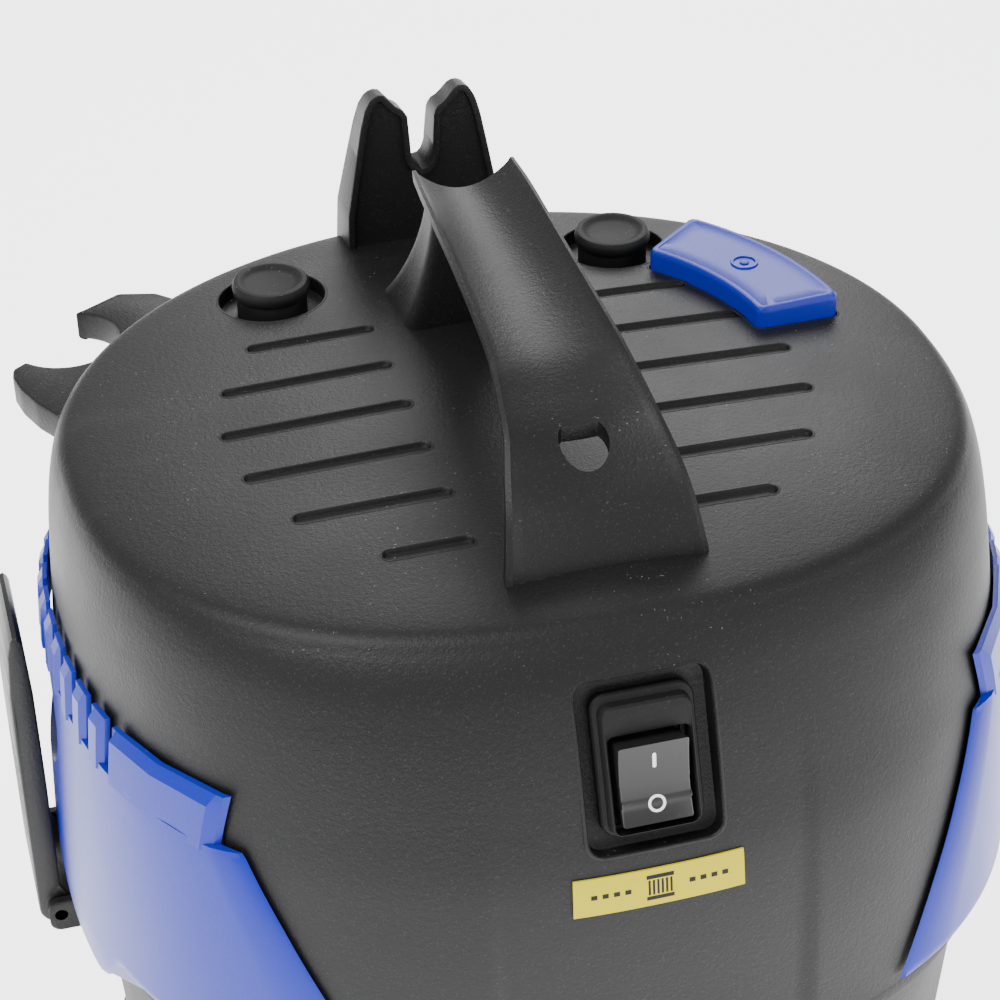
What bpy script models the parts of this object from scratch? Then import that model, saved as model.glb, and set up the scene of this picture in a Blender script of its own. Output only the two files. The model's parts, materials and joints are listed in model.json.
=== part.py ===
"""Compact wet and dry shop vacuum: a castored tank under a lift-off motor head.

Metres, +Z up. The origin is on the floor under the middle of the machine. The front, with
the switch, faces -Y, and left and right are as seen from the front (left is -X).
"""

from math import asin, atan2, cos, pi, radians, sin

import bmesh
import bpy
import numpy as np
from mathutils import Matrix, Vector

# ---------------------------------------------------------------- driving sizes
GAP = 0.0003                    # between pieces that touch
FRONT_POWER = 2.4               # superellipse power of the plan's front half
REAR_POWER = 2.0
RING_POINTS = 32

# Head shell
HEAD_HALF_WIDTH = 0.172         # at the seam with the tank
HEAD_FRONT = 0.179
HEAD_REAR = 0.168
HEAD_HEIGHT = 0.166             # seam to crown
HEAD_WALL = 0.003
# Drop below the crown, then how far the outline lies inside the seam's: sides, front, rear.
HEAD_ROWS = (
    (0.0000, 0.132, 0.141, 0.130),
    (0.0012, 0.090, 0.112, 0.100),
    (0.0030, 0.041, 0.0735, 0.054),
    (0.0062, 0.017, 0.0415, 0.032),
    (0.0110, 0.013, 0.0355, 0.028),
    (0.0200, 0.0105, 0.0285, 0.024),
    (0.0340, 0.0085, 0.022, 0.020),
    (0.0600, 0.0065, 0.013, 0.0145),
    (0.0880, 0.0045, 0.0055, 0.010),
    (0.1200, 0.0025, 0.002, 0.006),
)

# Tank, chassis and castors
TANK_HEIGHT = 0.2469
TANK_WALL = 0.0032
TANK_HALF_WIDTH = 0.150         # near the bottom
TANK_HALF_DEPTH = 0.152
TANK_MOUTH_INSET = 0.0075       # mouth inside the head's seam outline
TANK_FLANGE_INSET = 0.0015
TANK_FLANGE_HEIGHT = 0.009
CHASSIS_HALF_WIDTH = 0.164
CHASSIS_HALF_DEPTH = 0.195
CHASSIS_POWER = 4.4
CHASSIS_HEIGHT = 0.038
CHASSIS_WALL = 0.004
WHEEL_RADIUS = 0.025
WHEEL_WIDTH = 0.016
WHEEL_TRAIL = 0.016
AXLE_RADIUS = 0.003
STEM_RADIUS = 0.005
STEM_LENGTH = 0.026
CHEEK = 0.002
SWIVEL_RADIUS = 0.017
CASTOR_X = 0.112
CASTOR_FRONT_Y = -0.157
CASTOR_REAR_Y = 0.150
RUNNING_GAP = 0.0005            # between pieces that move past each other
CHASSIS_BOTTOM = 2 * WHEEL_RADIUS + 0.0065

# Suction inlet
INLET_DROP = 0.075              # below the seam
INLET_BORE = 0.0185
INLET_WALL = 0.004
INLET_FLANGE_RADIUS = 0.031
INLET_INSIDE = 0.036            # length behind the tank's wall
INLET_SHORT_OF_CHASSIS = 0.003  # the spigot's end stays behind the chassis's front

# Latches
LATCH_Y = 0.020
LATCH_WIDTH = 0.048
LATCH_PIN_OUT = 0.0075          # pin axis outside the head's widest point
LATCH_PIN_DROP = 0.032          # below the seam
LATCH_PIN_RADIUS = 0.0025
LATCH_HEIGHT = 0.1245
LATCH_EAR = 0.004

# Side panels: angle from the front, by drop below the crown, of the front and rear edges
PANEL_SEAT = 0.0015             # inner face outside the head's wall
PANEL_PROUD = 0.0046
PANEL_CHAMFER = 0.005
PANEL_TOP = 0.0605
PANEL_BOTTOM_SHORT = 0.003      # lower edge above the seam
PANEL_TONGUE = 0.016            # lower edge below the seam, beside the latch
PANEL_FRONT = ((0.060, 51.0), (0.080, 44.0), (0.103, 39.7), (0.131, 34.9), (0.163, 30.0))
PANEL_REAR = ((0.060, 138.0), (0.080, 141.0), (0.103, 143.5), (0.163, 149.0))
SCOOP_DROP = 0.106              # finger scoop behind the latch's grip
SCOOP_RADII = (0.0125, 0.046, 0.034)
SCOOP_OUT = 0.0070              # centre outside the head's wall
SCOOP_WALL = 0.0030
SLOT_COUNT = 9
SLOT_FIRST_Y = -0.076
SLOT_PITCH = 0.0145
SLOT_WIDTH = 0.0045
SLOT_DEPTH = 0.0195

# Top features
GROOVE_COUNT = 6
GROOVE_FIRST_Y = 0.0487
GROOVE_PITCH = 0.028
GROOVE_WIDTH = 0.006
GROOVE_DEPTH = 0.0016
GROOVE_CUTTER_RISE = 0.004
GROOVE_CIRCLE = 0.1034          # groove ends lie on this circle
GROOVE_INNER_X = 0.036
HANDLE_THICKNESS = 0.005
# Handle edge: distance behind the foot, height above the crown, half width, dish depth
HANDLE_PATH = (
    (-0.002, -0.010, 0.0345, 0.0020),
    (0.0000, -0.0011, 0.0334, 0.0022),
    (0.0075, 0.0154, 0.0308, 0.0030),
    (0.0160, 0.0253, 0.0286, 0.0038),
    (0.0262, 0.0341, 0.0259, 0.0045),
    (0.0410, 0.0411, 0.0240, 0.0052),
    (0.0580, 0.0472, 0.0222, 0.0060),
    (0.0855, 0.0510, 0.0210, 0.0068),
    (0.1140, 0.0540, 0.0202, 0.0078),
    (0.1325, 0.0557, 0.0199, 0.0085),
    (0.1525, 0.0574, 0.0195, 0.0093),
    (0.1705, 0.0583, 0.0186, 0.0100),
)
HANDLE_FOOT_Y = -0.1175
HANDLE_HOLE_DISTANCE = 0.0255
HANDLE_HOLE_RADIUS = 0.0075
POST_BASE = (0.032, 0.042, 0.087)      # half width, front, rear at the cover
POST_TOP = (0.0165, 0.036, 0.0525)     # the same under the strap
FORK_Y = 0.1245
FORK_THICKNESS = 0.0190
FORK_OUTLINE = (               # right half: x, height above the crown
    (0.0310, -0.0300), (0.0300, 0.0100), (0.0250, 0.0440), (0.0200, 0.0555), (0.0140, 0.0590),
    (0.0080, 0.0545), (0.0060, 0.0480), (0.0045, 0.0300), (0.0000, 0.0260),
)
CLIP_DROP = 0.0190
CLIP_THICKNESS = 0.012
CLIP_CENTRE = (-0.1425, 0.1070)
CLIP_RADIUS = 0.0203
CLIP_MOUTH = 144.0              # direction the mouth faces, in degrees from +X
CLIP_MOUTH_HALF = 73.0          # half the mouth's angle

# Rubber caps and button
CAP_X = 0.0665
CAP_Y = 0.0865
CAP_RADIUS = 0.0145
CAP_PROUD = 0.0075
WELL_RADIUS = 0.020
WELL_DEPTH = 0.006
BUTTON_INNER = 0.097
BUTTON_OUTER = 0.1295
BUTTON_FROM = 4.5               # degrees from +X
BUTTON_TO = 41.0
BUTTON_PROUD = 0.0085
BUTTON_SKIRT = 0.010
BUTTON_TRAVEL = 0.005
BUTTON_STEM_RADIUS = 0.0035
BUTTON_CLEARANCE = 0.0006
GUIDE_CLEARANCE = 0.0010         # below the pressed button's skirt
GUIDE_DEPTH = 0.0240

# Switch and label
SWITCH_DROP = 0.0475
SWITCH_TILT = radians(20.0)
RECESS_HALF_WIDTH = 0.0225
RECESS_HALF_HEIGHT = 0.0290
RECESS_DEPTH = 0.007
BOOT_HALF_WIDTH = 0.0170
BOOT_HALF_HEIGHT = 0.0235
BOOT_HEIGHT = 0.0085
ROCKER_HALF_WIDTH = 0.0115
ROCKER_HALF_HEIGHT = 0.0135
ROCKER_PLAY = 0.0028            # room above and below it for its swing
ROCKER_SHIFT = -0.0055          # the rocker sits low in its boot
LABEL_HALF_ANGLE = 9.4
LABEL_TOP = 0.0820
LABEL_HEIGHT = 0.0135
LABEL_THICKNESS = 0.0006

# Motor and head internals; heights are above the head base's plate
SEAL_THICKNESS = 0.0034
BASE_PLATE = 0.004
BASE_CLEARANCE = 0.0012         # head base inside the cover's wall
COLLAR_CLEARANCE = 0.0015
COLLAR_DEPTH = 0.018
EYE_RADIUS = 0.020
HOOD_RADIUS = 0.077
HOOD_WALL = 0.0025
HOOD_TOP_CLEARANCE = 0.014      # hood to the crown
SEAT_RADIUS = 0.0685
FAN_RADIUS = 0.066
FAN_HEIGHT = 0.040
IMPELLER_RADIUS = 0.060
SHAFT_RADIUS = 0.004
FIELD_RADIUS = 0.045
FIELD_BORE = 0.0270
CORE_RADIUS = 0.0255
FRAME_LEG_RADIUS = 0.050
COMMUTATOR_RADIUS = 0.013
MOTOR_RUBBER = 0.004

# Filter and float
CAGE_RADIUS = 0.033
CAGE_DEPTH = 0.078
FLOAT_RADIUS = 0.026
FLOAT_HEIGHT = 0.042
FILTER_RADIUS = 0.078
FILTER_BORE = 0.040
FILTER_DEPTH = 0.100
FILTER_CAP = 0.006

# ---------------------------------------------------------------- worked-out heights
CHASSIS_TOP = CHASSIS_BOTTOM + CHASSIS_HEIGHT
TANK_BOTTOM = CHASSIS_BOTTOM + CHASSIS_WALL + GAP
TANK_TOP = TANK_BOTTOM + TANK_HEIGHT
SEAM = TANK_TOP + GAP
CROWN = SEAM + HEAD_HEIGHT
PLATE_BOTTOM = SEAM + SEAL_THICKNESS + GAP
PLATE_TOP = PLATE_BOTTOM + BASE_PLATE
HOOD_TOP = CROWN - HOOD_TOP_CLEARANCE
LATCH_PIN_X = HEAD_HALF_WIDTH + LATCH_PIN_OUT
LATCH_PIN_Z = SEAM - LATCH_PIN_DROP

# Slot name: colour, roughness, metallic
FINISHES = {
    "cover_black": ((0.045, 0.045, 0.048), 0.62, 0.0),
    "tank_black": ((0.040, 0.040, 0.043), 0.55, 0.0),
    "panel_blue": ((0.035, 0.095, 0.62), 0.42, 0.0),
    "button_blue": ((0.030, 0.085, 0.66), 0.38, 0.0),
    "latch_black": ((0.020, 0.020, 0.021), 0.40, 0.0),
    "rubber_black": ((0.018, 0.018, 0.018), 0.75, 0.0),
    "rocker_black": ((0.012, 0.012, 0.012), 0.22, 0.0),
    "label_yellow": ((0.90, 0.86, 0.03), 0.45, 0.0),
    "inner_black": ((0.060, 0.060, 0.062), 0.60, 0.0),
    "steel": ((0.55, 0.55, 0.56), 0.35, 1.0),
    "aluminium": ((0.70, 0.70, 0.72), 0.40, 1.0),
    "copper": ((0.60, 0.28, 0.12), 0.40, 1.0),
    "carbon": ((0.03, 0.03, 0.03), 0.70, 0.0),
    "board_green": ((0.03, 0.18, 0.07), 0.50, 0.0),
    "foam_grey": ((0.20, 0.20, 0.21), 0.95, 0.0),
    "filter_paper": ((0.80, 0.78, 0.70), 0.90, 0.0),
    "float_white": ((0.75, 0.75, 0.73), 0.45, 0.0),
    "castor_grey": ((0.060, 0.060, 0.063), 0.50, 0.0),
    "tyre_grey": ((0.100, 0.100, 0.105), 0.80, 0.0),
}


# ---------------------------------------------------------------- scene helpers
def clear_scene():
    """Remove every object and set up the two collections."""
    for thing in list(bpy.data.objects):
        bpy.data.objects.remove(thing)
    collections = {}
    for title in ("shop_vacuum", "cutters"):
        collections[title] = bpy.data.collections.new(title)
        bpy.context.scene.collection.children.link(collections[title])
    return collections


COLLECTIONS = clear_scene()


def finish(slot):
    """The Principled material of a slot, made once."""
    if slot in bpy.data.materials:
        return bpy.data.materials[slot]
    colour, roughness, metallic = FINISHES[slot]
    material = bpy.data.materials.new(slot)
    material.use_nodes = True
    shader = material.node_tree.nodes["Principled BSDF"]
    shader.inputs["Base Color"].default_value = (*colour, 1.0)
    shader.inputs["Roughness"].default_value = roughness
    shader.inputs["Metallic"].default_value = metallic
    return material


def place(name, mesh, slot, location=(0, 0, 0), rotation=(0, 0, 0)):
    """Put a mesh in the scene as a part, or as a cutter when it has no slot."""
    piece = bpy.data.objects.new(name, mesh)
    piece.location = location
    piece.rotation_euler = rotation
    if slot:
        mesh.materials.append(finish(slot))
        COLLECTIONS["shop_vacuum"].objects.link(piece)
    else:
        piece.hide_render = True
        piece.display_type = "WIRE"
        COLLECTIONS["cutters"].objects.link(piece)
    return piece


def smooth(mesh, angle=radians(32)):
    """Shade smooth, with the edges over the angle kept sharp."""
    mesh.shade_smooth()
    mesh.set_sharp_from_angle(angle=angle)


def combine(piece, other, operation, solver="EXACT"):
    """Add a Boolean to a piece."""
    modifier = piece.modifiers.new(operation.lower() + "_" + other.name, "BOOLEAN")
    modifier.operation = operation
    modifier.object = other
    modifier.solver = solver
    return piece


def cut(piece, *cutters):
    """Take the cutters away from the piece."""
    for cutter in cutters:
        combine(piece, cutter, "DIFFERENCE")
    return piece


def unite(piece, *others):
    """Join helper solids to the piece, so that they make one body."""
    for other in others:
        combine(piece, other, "UNION")
    return piece


def box(name, low, high, slot=None, location=(0, 0, 0), rotation=(0, 0, 0)):
    """A block between two corners, given in its own frame."""
    low = Vector(low)
    high = Vector(high)
    grid = bmesh.new()
    bmesh.ops.create_cube(grid, size=1.0)
    size = high - low
    bmesh.ops.transform(grid, matrix=Matrix.Translation((low + high) / 2)
                        @ Matrix.Diagonal((*size, 1.0)), verts=grid.verts)
    mesh = bpy.data.meshes.new(name)
    grid.to_mesh(mesh)
    grid.free()
    return place(name, mesh, slot, location, rotation)


def rod(name, radius, low, high, slot=None, axis="Z", centre=(0, 0), segments=16):
    """A round bar along an axis, from low to high, with its centre across that axis."""
    grid = bmesh.new()
    bmesh.ops.create_cone(grid, cap_ends=True, segments=segments, radius1=radius,
                          radius2=radius, depth=high - low)
    middle = (low + high) / 2
    turn = {"X": Matrix.Rotation(pi / 2, 4, "Y"), "Y": Matrix.Rotation(pi / 2, 4, "X"),
            "Z": Matrix.Identity(4)}[axis]
    spot = {"X": (middle, *centre), "Y": (centre[0], middle, centre[1]),
            "Z": (*centre, middle)}[axis]
    bmesh.ops.transform(grid, matrix=turn, verts=grid.verts)
    mesh = bpy.data.meshes.new(name)
    grid.to_mesh(mesh)
    grid.free()
    smooth(mesh)
    return place(name, mesh, slot, spot)


def turned(name, profile, slot, location=(0, 0, 0), rotation=(0, 0, 0), steps=20, closed=True):
    """A turned piece from (radius, height) points that run down its outer side.

    A closed profile makes a ring; an open one starts and ends on the axis.
    """
    mesh = bpy.data.meshes.new(name)
    edges = [(i, i + 1) for i in range(len(profile) - 1)]
    if closed:
        edges.append((len(profile) - 1, 0))
    mesh.from_pydata([(r, 0.0, z) for r, z in profile], edges, [])
    piece = place(name, mesh, slot, location, rotation)
    screw = piece.modifiers.new("turn", "SCREW")
    screw.steps = steps
    screw.render_steps = steps
    screw.use_merge_vertices = True
    screw.merge_threshold = 0.00001
    screw.use_smooth_shade = False
    return piece


def ring_profile(inner, outer, low, high):
    """Closed profile of a plain ring."""
    return [(outer, high), (outer, low), (inner, low), (inner, high)]


def weld(mesh, distance=0.00001):
    """Merge the doubles of a mesh."""
    grid = bmesh.new()
    grid.from_mesh(mesh)
    bmesh.ops.remove_doubles(grid, verts=grid.verts, dist=distance)
    bmesh.ops.recalc_face_normals(grid, faces=grid.faces)
    grid.to_mesh(mesh)
    grid.free()


def plate(name, points, thickness, slot=None, location=(0, 0, 0), rotation=(0, 0, 0)):
    """A flat outline with its thickness centred on its own XY plane."""
    outline = bpy.data.curves.new(name + "_outline", "CURVE")
    outline.dimensions = "2D"
    outline.fill_mode = "BOTH"
    outline.extrude = thickness / 2
    spline = outline.splines.new("POLY")
    spline.points.add(len(points) - 1)
    for point, (x, y) in zip(spline.points, points):
        point.co = (x, y, 0.0, 1.0)
    spline.use_cyclic_u = True
    guide = bpy.data.objects.new(name + "_outline", outline)
    COLLECTIONS["cutters"].objects.link(guide)
    bpy.context.view_layer.update()
    graph = bpy.context.evaluated_depsgraph_get()
    mesh = bpy.data.meshes.new_from_object(guide.evaluated_get(graph))
    mesh.materials.clear()
    weld(mesh)
    bpy.data.objects.remove(guide)
    return place(name, mesh, slot, location, rotation)


def loft(name, rings, slot=None, closed=False):
    """Skin a stack of rings that have the same number of points.

    Open stacks are capped at both ends; closed ones join the last ring to the first.
    """
    grid = bmesh.new()
    rows = [[grid.verts.new(point) for point in ring] for ring in rings]
    count = len(rows[0])
    pairs = list(zip(rows, rows[1:]))
    if closed:
        pairs.append((rows[-1], rows[0]))
    for lower, upper in pairs:
        for i in range(count):
            j = (i + 1) % count
            grid.faces.new((lower[i], lower[j], upper[j], upper[i]))
    if not closed:
        grid.faces.new(rows[0])
        grid.faces.new(rows[-1])
    bmesh.ops.recalc_face_normals(grid, faces=grid.faces)
    mesh = bpy.data.meshes.new(name)
    grid.to_mesh(mesh)
    grid.free()
    smooth(mesh)
    return place(name, mesh, slot)


def slab(name, inner, outer, slot=None):
    """A closed slab between two grids of points with the same rows and columns."""
    grid = bmesh.new()
    sheets = [[[grid.verts.new(p) for p in row] for row in sheet] for sheet in (inner, outer)]
    rows = len(inner)
    columns = len(inner[0])
    for sheet in sheets:
        for i in range(rows - 1):
            for j in range(columns - 1):
                grid.faces.new((sheet[i][j], sheet[i][j + 1],
                                sheet[i + 1][j + 1], sheet[i + 1][j]))
    border = [(0, j) for j in range(columns)]
    border += [(i, columns - 1) for i in range(1, rows)]
    border += [(rows - 1, j) for j in range(columns - 2, -1, -1)]
    border += [(i, 0) for i in range(rows - 2, 0, -1)]
    for (i, j), (k, m) in zip(border, border[1:] + border[:1]):
        grid.faces.new((sheets[0][i][j], sheets[0][k][m], sheets[1][k][m], sheets[1][i][j]))
    bmesh.ops.recalc_face_normals(grid, faces=grid.faces)
    mesh = bpy.data.meshes.new(name)
    grid.to_mesh(mesh)
    grid.free()
    smooth(mesh)
    return place(name, mesh, slot)


# ---------------------------------------------------------------- the head's and tank's form
def oval(angle, half_width, front, rear, powers=(FRONT_POWER, REAR_POWER)):
    """Point of an oval at an angle from the front (-Y), turning towards +X.

    The front and rear halves are superellipses that meet at their widest, on the X axis.
    """
    dx = sin(angle)
    dy = -cos(angle)
    depth, power = (front, powers[0]) if dy < 0 else (rear, powers[1])
    reach = ((abs(dx) / half_width) ** power + (abs(dy) / depth) ** power) ** (-1 / power)
    return reach * dx, reach * dy


def oval_share(x, y, half_width, front, rear):
    """How far out a point lies in the oval: 1 on its outline."""
    depth, power = (front, FRONT_POWER) if y < 0 else (rear, REAR_POWER)
    return ((abs(x) / half_width) ** power + (abs(y) / depth) ** power) ** (1 / power)


def head_sizes(drop, offset=0.0):
    """Half width, front and rear of the head's outer surface at a drop below the crown."""
    rows = HEAD_ROWS + ((HEAD_HEIGHT, 0.0, 0.0, 0.0),)
    drops = [row[0] for row in rows]
    insets = [np.interp(drop, drops, [row[k] for row in rows]) for k in (1, 2, 3)]
    return tuple(size - inset + offset
                 for size, inset in zip((HEAD_HALF_WIDTH, HEAD_FRONT, HEAD_REAR), insets))


def head_point(angle, drop, offset=0.0):
    """Point on the head's outer surface, moved out in plan by the offset."""
    return (*oval(angle, *head_sizes(drop, offset)), CROWN - drop)


def head_ring(drop, offset=0.0, z=None):
    """Ring round the head at a drop, at its own height or at a given one."""
    height = CROWN - drop if z is None else z
    sizes = head_sizes(drop, offset)
    return [(*oval(2 * pi * i / RING_POINTS, *sizes), height) for i in range(RING_POINTS)]


def round_ring(radius, z):
    """Round ring with its points at the same angles as the head's."""
    return [(*oval(2 * pi * i / RING_POINTS, radius, radius, radius, (2, 2)), z)
            for i in range(RING_POINTS)]


def top_drop(x, y):
    """Drop of the head's top below the crown at a place in plan."""
    low = 0.0
    high = 0.03
    for _ in range(40):
        middle = (low + high) / 2
        if oval_share(x, y, *head_sizes(middle)) > 1:
            low = middle
        else:
            high = middle
    return high


def tank_sizes(z, offset=0.0):
    """Half width, front and rear of the tank's outer wall at a height."""
    low = TANK_BOTTOM + 0.016
    high = TANK_TOP - TANK_FLANGE_HEIGHT - 0.003
    share = min(max((z - low) / (high - low), 0.0), 1.0)
    bottom = (TANK_HALF_WIDTH, TANK_HALF_DEPTH, TANK_HALF_DEPTH)
    mouth = [size - TANK_MOUTH_INSET for size in (HEAD_HALF_WIDTH, HEAD_FRONT, HEAD_REAR)]
    return tuple(b + (m - b) * share + offset for b, m in zip(bottom, mouth))


def tank_side(z, y):
    """Half width of the tank's outer wall at a height and a place along Y."""
    half_width, front, rear = tank_sizes(z)
    depth, power = (front, FRONT_POWER) if y < 0 else (rear, REAR_POWER)
    return half_width * (1 - (abs(y) / depth) ** power) ** (1 / power)


def tank_ring(z, offset=0.0):
    """Ring round the tank's outer wall at a height."""
    sizes = tank_sizes(z, offset)
    return [(*oval(2 * pi * i / RING_POINTS, *sizes), z) for i in range(RING_POINTS)]


def head_envelope(name, clearance):
    """The head's outer form grown by a clearance, for seating pieces on it."""
    rings = [head_ring(drop, clearance, CROWN - drop + clearance)
             for drop, *_ in reversed(HEAD_ROWS)]
    return loft(name, [head_ring(HEAD_HEIGHT, clearance, SEAM)] + rings)


def tank_envelope(name, clearance, top):
    """The tank's outer form grown by a clearance, up to a height."""
    rings = [tank_ring(TANK_BOTTOM - clearance, clearance - 0.014),
             tank_ring(TANK_BOTTOM + 0.003, clearance - 0.006),
             tank_ring(TANK_BOTTOM + 0.010, clearance - 0.001),
             tank_ring(TANK_BOTTOM + 0.016, clearance)]
    shoulder = TANK_TOP - TANK_FLANGE_HEIGHT - 0.003
    if top > shoulder:
        rings.append(tank_ring(shoulder, clearance))
    rings.append(tank_ring(top, clearance))
    return loft(name, rings)


# ---------------------------------------------------------------- tank and chassis
def inlet_height():
    """Height of the suction inlet's axis."""
    return SEAM - INLET_DROP


def make_tank():
    """Open tank with a flange round its mouth, an inlet hole and the latches' ears."""
    flange_low = TANK_TOP - TANK_FLANGE_HEIGHT
    outer = [tank_ring(TANK_BOTTOM, -0.014), tank_ring(TANK_BOTTOM + 0.003, -0.006),
             tank_ring(TANK_BOTTOM + 0.010, -0.001), tank_ring(TANK_BOTTOM + 0.016),
             tank_ring(flange_low - 0.003),
             head_ring(HEAD_HEIGHT, -TANK_FLANGE_INSET, flange_low),
             head_ring(HEAD_HEIGHT, -TANK_FLANGE_INSET, TANK_TOP)]
    floor = TANK_BOTTOM + TANK_WALL
    inner = [tank_ring(TANK_TOP, -TANK_WALL), tank_ring(floor + 0.012, -TANK_WALL),
             tank_ring(floor + 0.003, -TANK_WALL - 0.006), tank_ring(floor, -TANK_WALL - 0.014)]
    tank = loft("tank", outer + inner, "tank_black")
    for side in (-1, 1):
        for end in (-1, 1):
            y = LATCH_Y + end * (LATCH_WIDTH / 2 + RUNNING_GAP + LATCH_EAR / 2)
            root = tank_side(LATCH_PIN_Z - 0.0075, y) - 0.6 * TANK_WALL
            tip = LATCH_PIN_X + 0.0045
            ear = box(f"ear_{side}_{end}", (min(side * root, side * tip), y - LATCH_EAR / 2,
                                            LATCH_PIN_Z - 0.0075),
                      (max(side * root, side * tip), y + LATCH_EAR / 2, LATCH_PIN_Z + 0.006))
            unite(tank, ear)
        reach = LATCH_WIDTH / 2 + LATCH_EAR + 0.004
        cut(tank, rod(f"ear_hole_{side}", LATCH_PIN_RADIUS + GAP, LATCH_Y - reach,
                      LATCH_Y + reach, axis="Y", centre=(side * LATCH_PIN_X, LATCH_PIN_Z),
                      segments=16))
    hole = rod("inlet_hole", INLET_BORE + INLET_WALL + RUNNING_GAP, -HEAD_FRONT - 0.02, -0.10,
               axis="Y", centre=(0.0, inlet_height()), segments=24)
    return cut(tank, hole)


def make_inlet():
    """Suction spigot: a tube through the tank's wall with a flange seated on it."""
    outer = INLET_BORE + INLET_WALL
    end = -(CHASSIS_HALF_DEPTH - INLET_SHORT_OF_CHASSIS)
    wall_y = -tank_sizes(inlet_height())[1]
    length = wall_y + INLET_INSIDE - end
    spigot = turned("inlet_spigot", ring_profile(INLET_BORE, outer, -length, 0.0),
                    "inner_black", (0.0, end, inlet_height()), (pi / 2, 0, 0))
    flange = turned("inlet_flange", ring_profile(outer - 0.001, INLET_FLANGE_RADIUS,
                                                 -0.030, -0.012), None,
                    (0.0, end, inlet_height()), (pi / 2, 0, 0))
    cut(flange, tank_envelope("inlet_seat", GAP, SEAM))
    return unite(spigot, flange)


def castor_spots():
    """Name and plan position of each castor's swivel axis."""
    return [(f"{end}_{side}", sign * CASTOR_X, y)
            for end, y in (("front", CASTOR_FRONT_Y), ("rear", CASTOR_REAR_Y))
            for side, sign in (("left", -1), ("right", 1))]


def chassis_ring(z, inset):
    """Ring of the chassis's rounded-rectangle outline."""
    sizes = (CHASSIS_HALF_WIDTH - inset, CHASSIS_HALF_DEPTH - inset, CHASSIS_HALF_DEPTH - inset)
    powers = (CHASSIS_POWER, CHASSIS_POWER)
    return [(*oval(2 * pi * i / RING_POINTS, *sizes, powers), z) for i in range(RING_POINTS)]


def make_chassis():
    """Base that holds the tank in a pocket and the castors in four sockets."""
    body = loft("chassis", [chassis_ring(CHASSIS_BOTTOM, 0.002),
                            chassis_ring(CHASSIS_BOTTOM + 0.004, 0.0),
                            chassis_ring(CHASSIS_TOP - 0.008, 0.0),
                            chassis_ring(CHASSIS_TOP, 0.007)], "tank_black")
    roof = CHASSIS_TOP - CHASSIS_WALL
    below = CHASSIS_BOTTOM - 0.01
    hollow = loft("chassis_hollow",
                  [chassis_ring(below, CHASSIS_WALL), chassis_ring(roof - 0.006, CHASSIS_WALL),
                   chassis_ring(roof, CHASSIS_WALL + 0.005),
                   tank_ring(roof, CHASSIS_WALL), tank_ring(below, CHASSIS_WALL)], closed=True)
    cut(body, hollow, tank_envelope("tank_pocket", GAP, CHASSIS_TOP + 0.01))
    bore_top = CHASSIS_BOTTOM + STEM_LENGTH + 0.002
    for title, x, y in castor_spots():
        unite(body, rod(f"socket_{title}", 0.013, CHASSIS_BOTTOM, CHASSIS_TOP - 0.001,
                        centre=(x, y)))
        cut(body, rod(f"socket_bore_{title}", STEM_RADIUS + RUNNING_GAP, below, bore_top,
                      centre=(x, y)))
    return body


def make_castor(title, x, y):
    """One castor: a fork with its stem, an axle and a wheel trailing behind the stem."""
    half = WHEEL_WIDTH / 2 + RUNNING_GAP
    crown = CHASSIS_BOTTOM - RUNNING_GAP
    under = 2 * WHEEL_RADIUS + 0.0015
    fork = rod(f"castor_fork_{title}", SWIVEL_RADIUS, under, crown, "castor_grey",
               centre=(x, y))
    stem = rod(f"stem_{title}", STEM_RADIUS, crown - 0.001, crown + STEM_LENGTH, centre=(x, y))
    unite(fork, stem)
    outline = [(-0.012, under + 0.001), (-0.012, under - 0.006),
               (WHEEL_TRAIL - 0.009, WHEEL_RADIUS - 0.004),
               (WHEEL_TRAIL - 0.004, WHEEL_RADIUS - 0.008),
               (WHEEL_TRAIL + 0.004, WHEEL_RADIUS - 0.008),
               (WHEEL_TRAIL + 0.008, WHEEL_RADIUS - 0.002),
               (0.012, under - 0.004), (0.012, under + 0.001)]
    for side in (-1, 1):
        cheek = plate(f"cheek_{title}_{side}", outline, CHEEK, None,
                      (x + side * (half + CHEEK / 2), y, 0.0), (pi / 2, 0, pi / 2))
        unite(fork, cheek)
    reach = half + CHEEK
    cut(fork, rod(f"axle_hole_{title}", AXLE_RADIUS + GAP, x - reach - 0.004,
                  x + reach + 0.004, axis="X", centre=(y + WHEEL_TRAIL, WHEEL_RADIUS)))
    rod(f"castor_axle_{title}", AXLE_RADIUS, x - reach, x + reach, "steel", axis="X",
        centre=(y + WHEEL_TRAIL, WHEEL_RADIUS))
    rim = WHEEL_WIDTH / 2
    profile = [(WHEEL_RADIUS - 0.002, rim), (WHEEL_RADIUS, rim - 0.0025),
               (WHEEL_RADIUS, -rim + 0.0025), (WHEEL_RADIUS - 0.002, -rim),
               (AXLE_RADIUS + RUNNING_GAP, -rim), (AXLE_RADIUS + RUNNING_GAP, rim)]
    turned(f"castor_wheel_{title}", profile, "tyre_grey",
           (x, y + WHEEL_TRAIL, WHEEL_RADIUS), (0, pi / 2, 0))


# ---------------------------------------------------------------- head shell
def switch_frame():
    """Location and rotation of the switch's own frame: its +Z looks out of the front wall."""
    sizes = head_sizes(SWITCH_DROP)
    return (0.0, -sizes[1], CROWN - SWITCH_DROP), (pi / 2 - SWITCH_TILT, 0.0, 0.0)


def groove_spans():
    """Left and right ends of each groove: y, then inner and outer x."""
    spans = []
    for i in range(GROOVE_COUNT):
        y = GROOVE_FIRST_Y - i * GROOVE_PITCH
        outer = (GROOVE_CIRCLE ** 2 - (y + 0.0125) ** 2) ** 0.5
        for side in (-1, 1):
            spans.append((side, y, GROOVE_INNER_X, outer))
    return spans


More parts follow.
